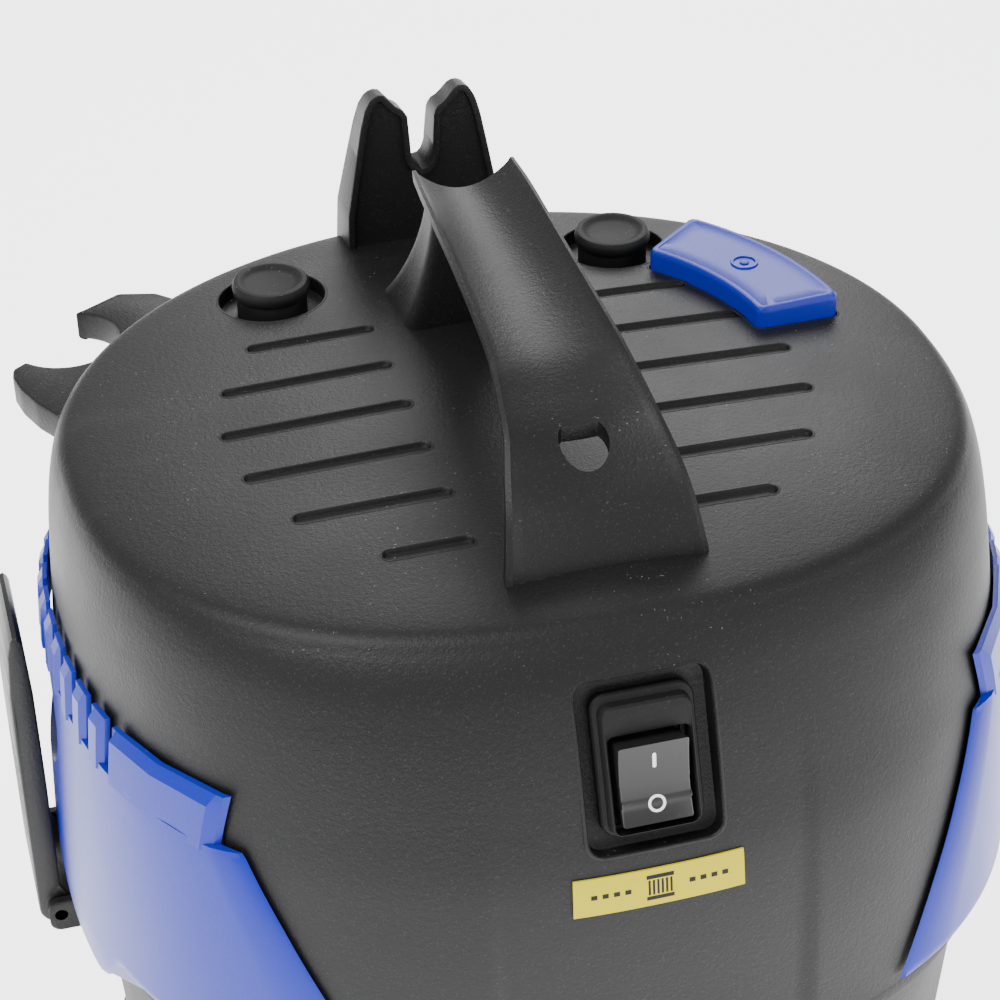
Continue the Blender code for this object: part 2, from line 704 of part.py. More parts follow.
def make_cover():
    """Top cover: a thin shell with grooves, cap wells, a button opening and the recess."""
    rows = [row[0] for row in HEAD_ROWS]
    outer = [head_ring(drop) for drop in rows] + [head_ring(HEAD_HEIGHT)]
    inner = [head_ring(HEAD_HEIGHT, -HEAD_WALL)]
    inner += [head_ring(drop, -HEAD_WALL, CROWN - drop - HEAD_WALL) for drop in reversed(rows)]
    cover = loft("top_cover", outer + inner, "cover_black")
    spot, turn = switch_frame()
    back = RECESS_DEPTH + 0.005
    unite(cover, box("recess_block",
                     (-RECESS_HALF_WIDTH - 0.003, -RECESS_HALF_HEIGHT - 0.003, -back),
                     (RECESS_HALF_WIDTH + 0.003, RECESS_HALF_HEIGHT + 0.003, -0.0025),
                     None, spot, turn))
    for side in (-1, 1):
        x = side * CAP_X
        top = CROWN - top_drop(x, CAP_Y)
        unite(cover, rod(f"well_block_{side}", WELL_RADIUS + 0.0025, top - WELL_DEPTH - 0.006,
                         top - 0.0045, centre=(x, CAP_Y)))
        cut(cover, rod(f"well_{side}", WELL_RADIUS, top - WELL_DEPTH, CROWN + 0.01,
                       centre=(x, CAP_Y)))
    cut(cover, box("recess", (-RECESS_HALF_WIDTH, -RECESS_HALF_HEIGHT, -RECESS_DEPTH),
                   (RECESS_HALF_WIDTH, RECESS_HALF_HEIGHT, 0.03), None, spot, turn),
        box("switch_window", (-ROCKER_HALF_WIDTH - 0.002 - GAP,
                              ROCKER_SHIFT - ROCKER_HALF_HEIGHT - ROCKER_PLAY - GAP, -0.03),
            (ROCKER_HALF_WIDTH + 0.002 + GAP,
             ROCKER_SHIFT + ROCKER_HALF_HEIGHT + ROCKER_PLAY + GAP, 0.03), None, spot, turn))
    for side in (-1, 1):
        unite(cover, scoop_block(side))
        cut(cover, scoop(f"cover_scoop_{side}", side))
    for number, (side, y, start, end) in enumerate(groove_spans()):
        corners = []
        for x, lift in ((start, -GROOVE_DEPTH), (end, -GROOVE_DEPTH),
                        (start, GROOVE_CUTTER_RISE), (end, GROOVE_CUTTER_RISE)):
            z = CROWN - top_drop(side * x, y) + lift
            corners.append([(side * x, y - GROOVE_WIDTH / 2, z),
                            (side * x, y + GROOVE_WIDTH / 2, z)])
        ends = [[corners[0][0], corners[0][1], corners[2][1], corners[2][0]],
                [corners[1][0], corners[1][1], corners[3][1], corners[3][0]]]
        cut(cover, loft(f"groove_{number}", ends))
    cut(cover, sector("button_opening", BUTTON_CLEARANCE, CROWN - 0.03, CROWN + 0.02))
    sizes = head_sizes(gland_drop())
    cut(cover, rod("gland_hole", 0.0085 + GAP, sizes[2] - 0.02, sizes[2] + 0.02, axis="Y",
                   centre=(0.0, CROWN - gland_drop())))
    return cover


def scoop(name, side):
    """Round cutter for the finger room behind a latch's grip."""
    grid = bmesh.new()
    bmesh.ops.create_uvsphere(grid, u_segments=20, v_segments=12, radius=1.0)
    bmesh.ops.scale(grid, vec=SCOOP_RADII, verts=grid.verts)
    mesh = bpy.data.meshes.new(name)
    grid.to_mesh(mesh)
    grid.free()
    x = head_sizes(SCOOP_DROP)[0] + SCOOP_OUT
    return place(name, mesh, None, (side * x, LATCH_Y, CROWN - SCOOP_DROP))


def scoop_block(side):
    """Thickening inside the cover that leaves a wall behind the finger scoop."""
    deep = SCOOP_RADII[0] - SCOOP_OUT + SCOOP_WALL
    centre = atan2(head_sizes(SCOOP_DROP)[0], -LATCH_Y)
    spread = (SCOOP_RADII[1] + SCOOP_WALL) / HEAD_HALF_WIDTH
    angles = np.linspace(centre - spread, centre + spread, 9)
    reach = SCOOP_RADII[2] + SCOOP_WALL
    drops = (SCOOP_DROP - reach, SCOOP_DROP, min(SCOOP_DROP + reach, HEAD_HEIGHT - 0.02))
    sheets = []
    for offset in (-deep, -HEAD_WALL / 2):
        rows = [[head_point(angle, drop, offset) for angle in angles] for drop in drops]
        sheets.append([[(side * x, y, z) for x, y, z in row] for row in rows])
    return slab(f"scoop_block_{side}", *sheets)


def sector(name, grow, low, high, slot=None):
    """Upright block with the button's curved plan, grown all round."""
    start = radians(BUTTON_FROM)
    end = radians(BUTTON_TO)
    swing = asin(grow / BUTTON_INNER)
    angles = np.linspace(start - swing, end + swing, 9)
    ring = [((BUTTON_OUTER + grow) * cos(a), (BUTTON_OUTER + grow) * sin(a)) for a in angles]
    ring += [((BUTTON_INNER - grow) * cos(a), (BUTTON_INNER - grow) * sin(a))
             for a in reversed(angles)]
    return loft(name, [[(x, y, low) for x, y in ring], [(x, y, high) for x, y in ring]], slot)


def make_handle():
    """Dished strap from the front foot up to the rear peaks, with its concave rear post."""
    rings = []
    path = [Vector((HANDLE_FOOT_Y + run, CROWN + rise)) for run, rise, *_ in HANDLE_PATH]
    for i, (_, _, half, dish) in enumerate(HANDLE_PATH):
        along = (path[min(i + 1, len(path) - 1)] - path[max(i - 1, 0)]).normalized()
        out = Vector((-along.y, along.x))
        ring = []
        for lift, order in ((0.0, 1), (-HANDLE_THICKNESS, -1)):
            for share in np.linspace(-order, order, 7):
                sink = dish * (1 - share ** 2)
                spot = path[i] + out * (lift - sink)
                ring.append((half * share, spot.x, spot.y))
        rings.append(ring)
    handle = loft("carry_handle", rings, "cover_black")
    levels = []
    for (half, front, rear), z in ((POST_BASE, CROWN - 0.012), (POST_TOP, CROWN + 0.0505)):
        pinch = half * 0.86
        middle = (front + rear) / 2
        levels.append([(-half, front, z), (0.0, front, z), (half, front, z), (pinch, middle, z),
                       (half, rear, z), (0.0, rear, z), (-half, rear, z), (-pinch, middle, z)])
    top_front = CROWN + 0.0465
    levels[1] = [(x, y, top_front if y < 0.045 else z - 0.004 * (x == 0.0))
                 for x, y, z in levels[1]]
    unite(handle, loft("rear_post", levels))
    hole_y = HANDLE_FOOT_Y + HANDLE_HOLE_DISTANCE
    cut(handle, rod("handle_hole", HANDLE_HOLE_RADIUS, CROWN + 0.020, CROWN + 0.08,
                    centre=(0.0, hole_y)), head_envelope("handle_seat", GAP))
    return handle


def make_fork():
    """Upright two-eared fork behind the handle."""
    right = list(FORK_OUTLINE)
    left = [(-x, z) for x, z in reversed(right) if x > 0]
    fork = plate("rear_fork", [(x, CROWN + z) for x, z in right + left], FORK_THICKNESS,
                 "cover_black", (0.0, FORK_Y, 0.0), (pi / 2, 0, 0))
    face = [(x * 0.84, CROWN + z * 0.93) for x, z in right + left if z > 0]
    inset = plate("fork_face", face, 0.004, None, (0.0, FORK_Y - FORK_THICKNESS / 2, 0.0),
                  (pi / 2, 0, 0))
    return cut(fork, inset, head_envelope("fork_seat", GAP))


def make_clip():
    """C-shaped clip for the suction tube at the rear left."""
    cx, cy = CLIP_CENTRE
    mouth = radians(CLIP_MOUTH)
    arc = np.linspace(mouth - radians(CLIP_MOUTH_HALF),
                      mouth - 2 * pi + radians(CLIP_MOUTH_HALF), 17)
    hollow = [(cx + CLIP_RADIUS * cos(a), cy + CLIP_RADIUS * sin(a)) for a in arc]
    outline = hollow + [(-0.1600, 0.0925), (-0.1660, 0.0840), (-0.1655, 0.0600),
                        (-0.1560, 0.0300), (-0.1300, 0.0400), (-0.0960, 0.0900),
                        (-0.0900, 0.1180), (-0.1040, 0.1330), (-0.1180, 0.1370)]
    clip = plate("tube_clip", outline, CLIP_THICKNESS, "cover_black",
                 (0.0, 0.0, CROWN - CLIP_DROP - CLIP_THICKNESS / 2))
    return cut(clip, head_envelope("clip_seat", GAP))


def make_caps():
    """Round rubber caps that stand in their wells."""
    for side, title in ((-1, "left"), (1, "right")):
        x = side * CAP_X
        base = CROWN - top_drop(x, CAP_Y) - WELL_DEPTH + GAP
        top = base + WELL_DEPTH + CAP_PROUD - GAP
        profile = [(0.0, top - 0.0006), (CAP_RADIUS - 0.0045, top - 0.0006),
                   (CAP_RADIUS - 0.003, top), (CAP_RADIUS - 0.001, top - 0.0004),
                   (CAP_RADIUS, top - 0.002), (CAP_RADIUS - 0.0015, top - 0.006),
                   (CAP_RADIUS - 0.0015, base), (0.0, base)]
        turned(f"rubber_cap_{title}", [(r, z - base) for r, z in profile], "rubber_black",
               (x, CAP_Y, base), steps=20, closed=False)


def panel_edge(rows, drop):
    """Angle of a side panel's edge at a drop."""
    return radians(np.interp(drop, [row[0] for row in rows], [row[1] for row in rows]))


def make_panel(title, side):
    """Blue side panel: a curved slab with chamfered borders and comb-like vent slots."""
    lower = HEAD_HEIGHT - PANEL_BOTTOM_SHORT
    drops = [PANEL_TOP, PANEL_TOP + PANEL_CHAMFER, 0.080, 0.103, 0.131, lower]
    border = PANEL_CHAMFER / HEAD_HALF_WIDTH
    sheets = {PANEL_SEAT: [], PANEL_PROUD: []}
    for number, drop in enumerate(drops):
        front = panel_edge(PANEL_FRONT, drop)
        rear = panel_edge(PANEL_REAR, drop)
        spread = np.linspace(front + border, rear - border, 13)
        angles = [front, *spread, rear]
        for depth, sheet in sheets.items():
            row = []
            for k, angle in enumerate(angles):
                at_border = number == 0 or k in (0, len(angles) - 1)
                out = min(depth, PANEL_SEAT + 0.0008) if at_border else depth
                fall = drop
                tongue = number == len(drops) - 1 and radians(74) < angle < radians(112)
                if tongue:
                    fall = HEAD_HEIGHT + PANEL_TONGUE
                x, y, _ = head_point(angle, min(fall, HEAD_HEIGHT), out)
                row.append((side * x, y, CROWN - fall))
            sheet.append(row)
    panel = slab(f"side_panel_{title}", sheets[PANEL_SEAT], sheets[PANEL_PROUD], "panel_blue")
    for i in range(SLOT_COUNT):
        y = SLOT_FIRST_Y + i * SLOT_PITCH
        x = side * HEAD_HALF_WIDTH * 0.98
        slot = box(f"slot_{title}_{i}",
                   (x - 0.03, y - SLOT_WIDTH / 2, CROWN - PANEL_TOP - SLOT_DEPTH),
                   (x + 0.03, y + SLOT_WIDTH / 2, CROWN - PANEL_TOP + 0.01))
        combine(panel, slot, "DIFFERENCE", "MANIFOLD")     # EXACT leaves this curved slab open
    combine(panel, scoop(f"panel_scoop_{title}", side), "DIFFERENCE", "MANIFOLD")
    return panel


def make_label():
    """Thin curved label on the front wall below the switch."""
    angles = np.radians(np.linspace(-LABEL_HALF_ANGLE, LABEL_HALF_ANGLE, 9))
    drops = (LABEL_TOP, LABEL_TOP + LABEL_HEIGHT / 2, LABEL_TOP + LABEL_HEIGHT)
    sheets = [[[head_point(a, drop, out) for a in angles] for drop in drops]
              for out in (GAP, GAP + LABEL_THICKNESS)]
    return slab("label", sheets[0], sheets[1], "label_yellow")


# ---------------------------------------------------------------- switch and button
def make_switch():
    """Switch body, its rubber boot and the rocker, all square to the front wall."""
    spot, turn = switch_frame()
    floor = -RECESS_DEPTH
    half_w = ROCKER_HALF_WIDTH + 0.002
    half_h = ROCKER_HALF_HEIGHT + ROCKER_PLAY
    body = box("switch_body", (-half_w, ROCKER_SHIFT - half_h, floor - 0.022),
               (half_w, ROCKER_SHIFT + half_h, floor + 0.002), "inner_black", spot, turn)
    rim = ROCKER_PLAY - 0.0012
    well = box("rocker_well", (-ROCKER_HALF_WIDTH - 0.0006,
                               ROCKER_SHIFT - ROCKER_HALF_HEIGHT - rim, floor - 0.006),
               (ROCKER_HALF_WIDTH + 0.0006, ROCKER_SHIFT + ROCKER_HALF_HEIGHT + rim,
                floor + 0.02), None, spot, turn)
    cut(body, well)
    boot = box("switch_boot", (-BOOT_HALF_WIDTH, -BOOT_HALF_HEIGHT, floor + GAP),
               (BOOT_HALF_WIDTH, BOOT_HALF_HEIGHT, floor + 0.004), "rubber_black", spot, turn)
    step = box("boot_step", (-BOOT_HALF_WIDTH + 0.0022, -BOOT_HALF_HEIGHT + 0.0005, floor + 0.002),
               (BOOT_HALF_WIDTH - 0.0022, BOOT_HALF_HEIGHT - 0.0025, floor + BOOT_HEIGHT),
               None, spot, turn)
    hole = box("boot_hole", (-half_w - GAP, ROCKER_SHIFT - half_h - GAP, floor - 0.01),
               (half_w + GAP, ROCKER_SHIFT + half_h + GAP, floor + 0.03), None, spot, turn)
    unite(boot, step)
    cut(boot, hole)
    high = BOOT_HEIGHT + 0.0035
    outline = [(-ROCKER_HALF_HEIGHT, high - 0.0030), (-ROCKER_HALF_HEIGHT, 0.0022),
               (-0.004, -0.0015), (0.004, -0.0015), (ROCKER_HALF_HEIGHT, 0.0022),
               (ROCKER_HALF_HEIGHT, high), (0.003, high - 0.0025), (-0.003, high - 0.0030)]
    rocker = plate("rocker", outline, 2 * ROCKER_HALF_WIDTH, "rocker_black")
    rocker.matrix_world = (Matrix.Translation(spot) @ Matrix.Rotation(turn[0], 4, "X")
                           @ Matrix.Translation((0, ROCKER_SHIFT, floor))
                           @ Matrix(((0, 0, 1, 0), (1, 0, 0, 0), (0, 1, 0, 0), (0, 0, 0, 1))))
    return rocker


def button_stem_place():
    """Plan position of the button's stem."""
    middle = radians((BUTTON_FROM + BUTTON_TO) / 2)
    radius = (BUTTON_INNER + BUTTON_OUTER) / 2
    return radius * cos(middle), radius * sin(middle)


def make_button():
    """Filter-cleaning button with its stem, guide cup and return spring."""
    x, y = button_stem_place()
    surface = CROWN - top_drop(x, y)
    button = sector("filter_button", 0.0, surface - BUTTON_SKIRT, surface + BUTTON_PROUD,
                    "button_blue")
    spring_top = surface - BUTTON_SKIRT
    cup_top = spring_top - BUTTON_TRAVEL - GUIDE_CLEARANCE
    cup_bottom = cup_top - GUIDE_DEPTH
    stem_low = cup_bottom + 0.002 + BUTTON_TRAVEL + RUNNING_GAP
    unite(button, rod("button_stem", BUTTON_STEM_RADIUS, stem_low, spring_top + 0.002,
                      centre=(x, y)))
    guide_radius = 0.011
    profile = [(0.0, cup_bottom), (guide_radius, cup_bottom), (guide_radius, cup_top),
               (guide_radius - 0.002, cup_top), (guide_radius - 0.002, cup_bottom + 0.002),
               (0.0, cup_bottom + 0.002)]
    turned("button_guide", [(r, z - cup_bottom) for r, z in reversed(profile)], "inner_black",
           (x, y, cup_bottom), steps=20, closed=False)
    make_spring((x, y), cup_bottom + 0.002 + GAP, spring_top - GAP)
    return button


def make_spring(centre, low, high):
    """Coil spring round the button's stem."""
    wire = 0.0006
    radius = BUTTON_STEM_RADIUS + 0.0022
    turns = 3
    per_turn = 8
    curve = bpy.data.curves.new("button_spring", "CURVE")
    curve.dimensions = "3D"
    curve.bevel_depth = wire
    curve.bevel_resolution = 1
    curve.use_fill_caps = True
    spline = curve.splines.new("POLY")
    count = turns * per_turn + 1
    spline.points.add(count - 1)
    for i, point in enumerate(spline.points):
        angle = 2 * pi * i / per_turn
        rise = (high - low - 2 * wire) * i / (count - 1)
        point.co = (radius * cos(angle), radius * sin(angle), wire + rise, 1.0)
    spring = bpy.data.objects.new("button_spring", curve)
    spring.location = (*centre, low)
    curve.materials.append(finish("steel"))
    COLLECTIONS["shop_vacuum"].objects.link(spring)
    return spring


# ---------------------------------------------------------------- head internals
def gland_drop():
    """Drop of the cable gland's axis below the crown."""
    return HEAD_HEIGHT - 0.040


def make_gland():
    """Bush for the mains lead in the cover's rear wall."""
    y = head_sizes(gland_drop())[2]
    z = CROWN - gland_drop()
    profile = [(0.0125, 0.0085), (0.0130, 0.0032), (0.0085, 0.0032), (0.0085, -0.010),
               (0.0045, -0.010), (0.0045, 0.0085)]
    return turned("cable_gland", profile, "rubber_black", (0.0, y, z), (-pi / 2, 0, 0),
                  steps=20)


def make_base():
    """Head base: plate with a collar that enters the tank and a seat for the fan housing."""
    rim = -HEAD_WALL - BASE_CLEARANCE
    collar = -(TANK_MOUTH_INSET + TANK_WALL + COLLAR_CLEARANCE)
    low = SEAM - COLLAR_DEPTH
    seat = PLATE_TOP + 0.018
    rings = [head_ring(HEAD_HEIGHT, rim, PLATE_TOP), head_ring(HEAD_HEIGHT, rim, PLATE_BOTTOM),
             head_ring(HEAD_HEIGHT, collar, PLATE_BOTTOM), head_ring(HEAD_HEIGHT, collar, low),
             head_ring(HEAD_HEIGHT, collar - 0.003, low),
             head_ring(HEAD_HEIGHT, collar - 0.003, PLATE_BOTTOM),
             round_ring(EYE_RADIUS, PLATE_BOTTOM), round_ring(EYE_RADIUS, PLATE_TOP),
             round_ring(SEAT_RADIUS, PLATE_TOP), round_ring(SEAT_RADIUS, seat),
             round_ring(SEAT_RADIUS + 0.003, seat), round_ring(SEAT_RADIUS + 0.003, PLATE_TOP)]
    return loft("head_base", rings, "inner_black", closed=True)


def make_head_seal():
    """Rubber seal between the head base and the tank's flange."""
    low = TANK_TOP + GAP
    high = PLATE_BOTTOM - GAP
    out = -HEAD_WALL - 0.001
    inward = -(TANK_MOUTH_INSET + TANK_WALL)
    rings = [head_ring(HEAD_HEIGHT, out, high), head_ring(HEAD_HEIGHT, out, low),
             head_ring(HEAD_HEIGHT, inward, low), head_ring(HEAD_HEIGHT, inward, high)]
    return loft("head_seal", rings, "rubber_black", closed=True)


def make_motor():
    """Fan housing, impeller, motor frame, field, armature, bearings, brushes and hood."""
    fan_low = PLATE_TOP + GAP + MOTOR_RUBBER + GAP
    fan_high = fan_low + FAN_HEIGHT
    turned("motor_seal_lower", ring_profile(0.050, SEAT_RADIUS - 0.001, PLATE_TOP + GAP,
                                            PLATE_TOP + GAP + MOTOR_RUBBER), "rubber_black")
    eye = 0.022
    boss = 0.0125
    sheet = 0.0015
    turned("fan_housing", [(boss, fan_high), (FAN_RADIUS, fan_high), (FAN_RADIUS, fan_low),
                           (eye, fan_low), (eye, fan_low + sheet),
                           (FAN_RADIUS - sheet, fan_low + sheet),
                           (FAN_RADIUS - sheet, fan_high - sheet), (boss, fan_high - sheet)],
           "aluminium")
    frame_low = fan_high + GAP
    rubber_low = HOOD_TOP - HOOD_WALL - GAP - MOTOR_RUBBER
    frame_high = rubber_low - GAP
    make_impeller(fan_low + sheet + 0.002, fan_high - sheet - 0.002)
    make_motor_frame(frame_low, frame_high)
    core_low = frame_low + 0.022
    core_high = frame_high - 0.034
    turned("motor_field", ring_profile(FIELD_BORE, FIELD_RADIUS, core_low, core_high), "copper")
    commutator_low = core_high + 0.006
    commutator_high = commutator_low + 0.012
    end = frame_high - 0.003
    shaft = [(0.0, end), (SHAFT_RADIUS, end), (SHAFT_RADIUS, commutator_high),
             (COMMUTATOR_RADIUS, commutator_high), (COMMUTATOR_RADIUS, commutator_low),
             (SHAFT_RADIUS + 0.002, commutator_low), (CORE_RADIUS - 0.004, core_high + 0.002),
             (CORE_RADIUS, core_high - 0.003), (CORE_RADIUS, core_low + 0.003),
             (CORE_RADIUS - 0.004, core_low - 0.002), (SHAFT_RADIUS, core_low - 0.006),
             (SHAFT_RADIUS, fan_low + 0.006), (0.0, fan_low + 0.006)]
    turned("armature", shaft, "steel", steps=20, closed=False)
    bearing = 0.0110
    for title, low in (("lower", frame_low + 0.0025), ("upper", frame_high - 0.0120)):
        turned(f"bearing_{title}", ring_profile(SHAFT_RADIUS + GAP, bearing, low, low + 0.007),
               "steel", steps=20)
    for side, title in ((-1, "left"), (1, "right")):
        near = side * (COMMUTATOR_RADIUS + RUNNING_GAP)
        far = side * 0.034
        box(f"brush_{title}", (min(near, far), -0.0035, commutator_low + 0.002),
            (max(near, far), 0.0035, commutator_high - 0.002), "carbon")
    turned("motor_seal_upper", [(0.0, rubber_low + MOTOR_RUBBER), (0.022, rubber_low
                                                                   + MOTOR_RUBBER),
                                (0.022, rubber_low), (0.0, rubber_low)], "rubber_black",
           steps=20, closed=False)
    hood = turned("motor_hood", [(0.0, HOOD_TOP), (HOOD_RADIUS - 0.006, HOOD_TOP),
                                 (HOOD_RADIUS, HOOD_TOP - 0.006), (HOOD_RADIUS, PLATE_TOP + GAP),
                                 (HOOD_RADIUS - HOOD_WALL, PLATE_TOP + GAP),
                                 (HOOD_RADIUS - HOOD_WALL, HOOD_TOP - 0.008),
                                 (HOOD_RADIUS - 0.008, HOOD_TOP - HOOD_WALL),
                                 (0.0, HOOD_TOP - HOOD_WALL)], "inner_black", steps=20,
                  closed=False)
    for i in range(4):
        angle = pi / 4 + i * pi / 2
        cut(hood, box(f"hood_vent_{i}", (HOOD_RADIUS - 0.012, -0.014, PLATE_TOP + 0.046),
                      (HOOD_RADIUS + 0.012, 0.014, PLATE_TOP + 0.060), None, (0, 0, 0),
                      (0, 0, angle)))
    turned("exhaust_filter", ring_profile(HOOD_RADIUS + 0.003, HOOD_RADIUS + 0.020,
                                          PLATE_TOP + GAP, PLATE_TOP + 0.044), "foam_grey",
           steps=20)


def make_impeller(low, high):
    """Fan wheel: two discs with curved vanes between, bored for the shaft."""
    bore = SHAFT_RADIUS + GAP
    wheel = turned("impeller", [(IMPELLER_RADIUS, high), (IMPELLER_RADIUS, high - 0.0015),
                                (0.0100, high - 0.0015), (0.0090, low + 0.004),
                                (bore, low + 0.004), (bore, high)], "aluminium")
    unite(wheel, turned("impeller_front", [(IMPELLER_RADIUS, low + 0.0015),
                                           (IMPELLER_RADIUS, low), (0.024, low),
                                           (0.024, low + 0.0015)], None))
    for i in range(7):
        vane = box(f"vane_{i}", (0.026, -0.0007, low + 0.0007),
                   (IMPELLER_RADIUS - 0.0015, 0.0007, high - 0.0007), None, (0, 0, 0),
                   (0, 0, 2 * pi * i / 7))
        unite(wheel, vane)
    return wheel


def make_motor_frame(low, high):
    """Two bearing bridges tied by four legs outside the field."""
    pocket = 0.0110 + GAP
    outer = FRAME_LEG_RADIUS + 0.004
    frame = turned("motor_frame", [(outer, low + 0.004), (outer, low), (0.0070, low),
                                   (0.0070, low + 0.0022), (pocket, low + 0.0022),
                                   (pocket, low + 0.010), (pocket + 0.003, low + 0.010),
                                   (pocket + 0.003, low + 0.004)], "aluminium")
    upper = turned("frame_bridge", [(outer, high), (outer, high - 0.004),
                                    (pocket + 0.003, high - 0.004),
                                    (pocket + 0.003, high - 0.0125), (pocket, high - 0.0125),
                                    (pocket, high - 0.0045), (0.0070, high - 0.0045),
                                    (0.0070, high)], None)
    unite(frame, upper)
    for i in range(4):
        angle = pi / 4 + i * pi / 2
        leg = box(f"leg_{i}", (FIELD_RADIUS + 0.001, -0.004, low + 0.001),
                  (outer - 0.001, 0.004, high - 0.001), None, (0, 0, 0), (0, 0, angle))
        unite(frame, leg)
    return frame


def make_board():
    """Control board behind the switch."""
    y = -(HOOD_RADIUS + 0.028)
    low = PLATE_TOP + 0.004
    return box("control_board", (-0.028, y - 0.0008, low), (0.028, y + 0.0008, low + 0.034),
               "board_green")


def make_filter():
    """Float cage, float, pleated cartridge and its lower cap, hung under the head base."""
    top = PLATE_BOTTOM - GAP
    cage_low = top - CAGE_DEPTH
    cage = turned("float_cage", [(CAGE_RADIUS + 0.005, top), (CAGE_RADIUS + 0.005, top - 0.003),
                                 (CAGE_RADIUS, top - 0.003), (CAGE_RADIUS, cage_low),
                                 (0.006, cage_low), (0.006, cage_low + 0.0025),
                                 (CAGE_RADIUS - 0.0025, cage_low + 0.0025),
                                 (CAGE_RADIUS - 0.0025, top)], "inner_black")
    for i in range(3):
        cut(cage, box(f"cage_window_{i}", (-0.05, -0.007, cage_low + 0.010),
                      (0.05, 0.007, top - 0.012), None, (0, 0, 0), (0, 0, i * pi / 3)))
    base = cage_low + 0.0025 + GAP
    turned("float", [(0.0, FLOAT_HEIGHT), (FLOAT_RADIUS * 0.55, FLOAT_HEIGHT),
                     (FLOAT_RADIUS, FLOAT_HEIGHT - 0.014), (FLOAT_RADIUS, 0.008),
                     (FLOAT_RADIUS - 0.006, 0.0), (0.0, 0.0)], "float_white",
           (0.0, 0.0, base), closed=False)
    low = top - FILTER_DEPTH
    turned("filter_cartridge", ring_profile(FILTER_BORE, FILTER_RADIUS, low, top),
           "filter_paper", steps=20)
    cap_top = low - GAP
    cap = turned("filter_cap", [(0.0, cap_top + 0.010), (FILTER_BORE - 0.002, cap_top + 0.010),
                                (FILTER_BORE - 0.002, cap_top), (FILTER_RADIUS + 0.002, cap_top),
                                (FILTER_RADIUS + 0.002, cap_top - FILTER_CAP),
                                (0.0, cap_top - FILTER_CAP)], "inner_black", steps=20,
                 closed=False)
    grip = box("cap_grip", (-0.022, -0.0035, cap_top - FILTER_CAP - 0.014),
               (0.022, 0.0035, cap_top - FILTER_CAP + 0.001))
    return unite(cap, grip)


def make_screws():
    """Screws that hold the head base up to the cover's bosses."""
    head = 0.004
    for number, angle in enumerate((50, 130, 230, 310)):
        x, y = oval(radians(angle), *head_sizes(HEAD_HEIGHT, -0.030))
        low = PLATE_TOP + GAP
        turned(f"base_screw_{number}", [(0.0, low + 0.0025), (head, low + 0.0025), (head, low),
                                        (0.0, low)], "steel", (x, y, 0.0), steps=16,
               closed=False)


# ---------------------------------------------------------------- latches
def make_latch(title, side):
    """Latch that turns on its pin, with a grip that stands off the side panel."""
    r = 0.0075
    arc = [(r * cos(a), r * sin(a)) for a in np.linspace(0.0, -pi, 9)]
    outline = arc + [(-0.0016, 0.010), (-0.0016, 0.046), (-0.0018, 0.058), (-0.0018, 0.100),
                     (-0.0005, LATCH_HEIGHT - 0.001), (0.0015, LATCH_HEIGHT),
                     (0.0050, LATCH_HEIGHT - 0.008), (0.0068, 0.095), (0.0072, 0.060),
                     (0.0075, 0.012)]
    outline = [(side * x, z) for x, z in outline]
    latch = plate(f"latch_{title}", outline, LATCH_WIDTH, "latch_black",
                  (side * LATCH_PIN_X, LATCH_Y, LATCH_PIN_Z), (pi / 2, 0, 0))
    bore = rod(f"latch_bore_{title}", LATCH_PIN_RADIUS + RUNNING_GAP, LATCH_Y - LATCH_WIDTH,
               LATCH_Y + LATCH_WIDTH, axis="Y", centre=(side * LATCH_PIN_X, LATCH_PIN_Z),
               segments=16)
    cut(latch, bore)
    reach = LATCH_WIDTH / 2 + RUNNING_GAP + LATCH_EAR
    rod(f"latch_pin_{title}", LATCH_PIN_RADIUS, LATCH_Y - reach, LATCH_Y + reach, "steel",
        axis="Y", centre=(side * LATCH_PIN_X, LATCH_PIN_Z), segments=16)
    return latch


def main():
    """Build every piece."""
    make_tank()
    make_inlet()
    make_chassis()
    for title, x, y in castor_spots():
        make_castor(title, x, y)
    make_cover()
    make_handle()
    make_fork()
    make_clip()
    make_caps()
    for title, side in (("left", -1), ("right", 1)):
        make_panel(title, side)
        make_latch(title, side)
    make_label()
    make_switch()
    make_button()
    make_gland()
    make_base()
    make_head_seal()
    make_motor()
    make_board()
    make_filter()
    make_screws()


main()
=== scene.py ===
"""Looks of the shop vacuum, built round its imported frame.

Every class below is one sub-assembly of the machine. Surfaces are numpy grids: a ring or an
outline carried through rows of sizes, in metres, in the frame's own coordinates.
"""

import json
import logging
from dataclasses import dataclass
from enum import Enum
from math import cos, pi, radians, sin
from typing import Callable

import bmesh
import bpy
import numpy as np
from mathutils import Matrix, Vector


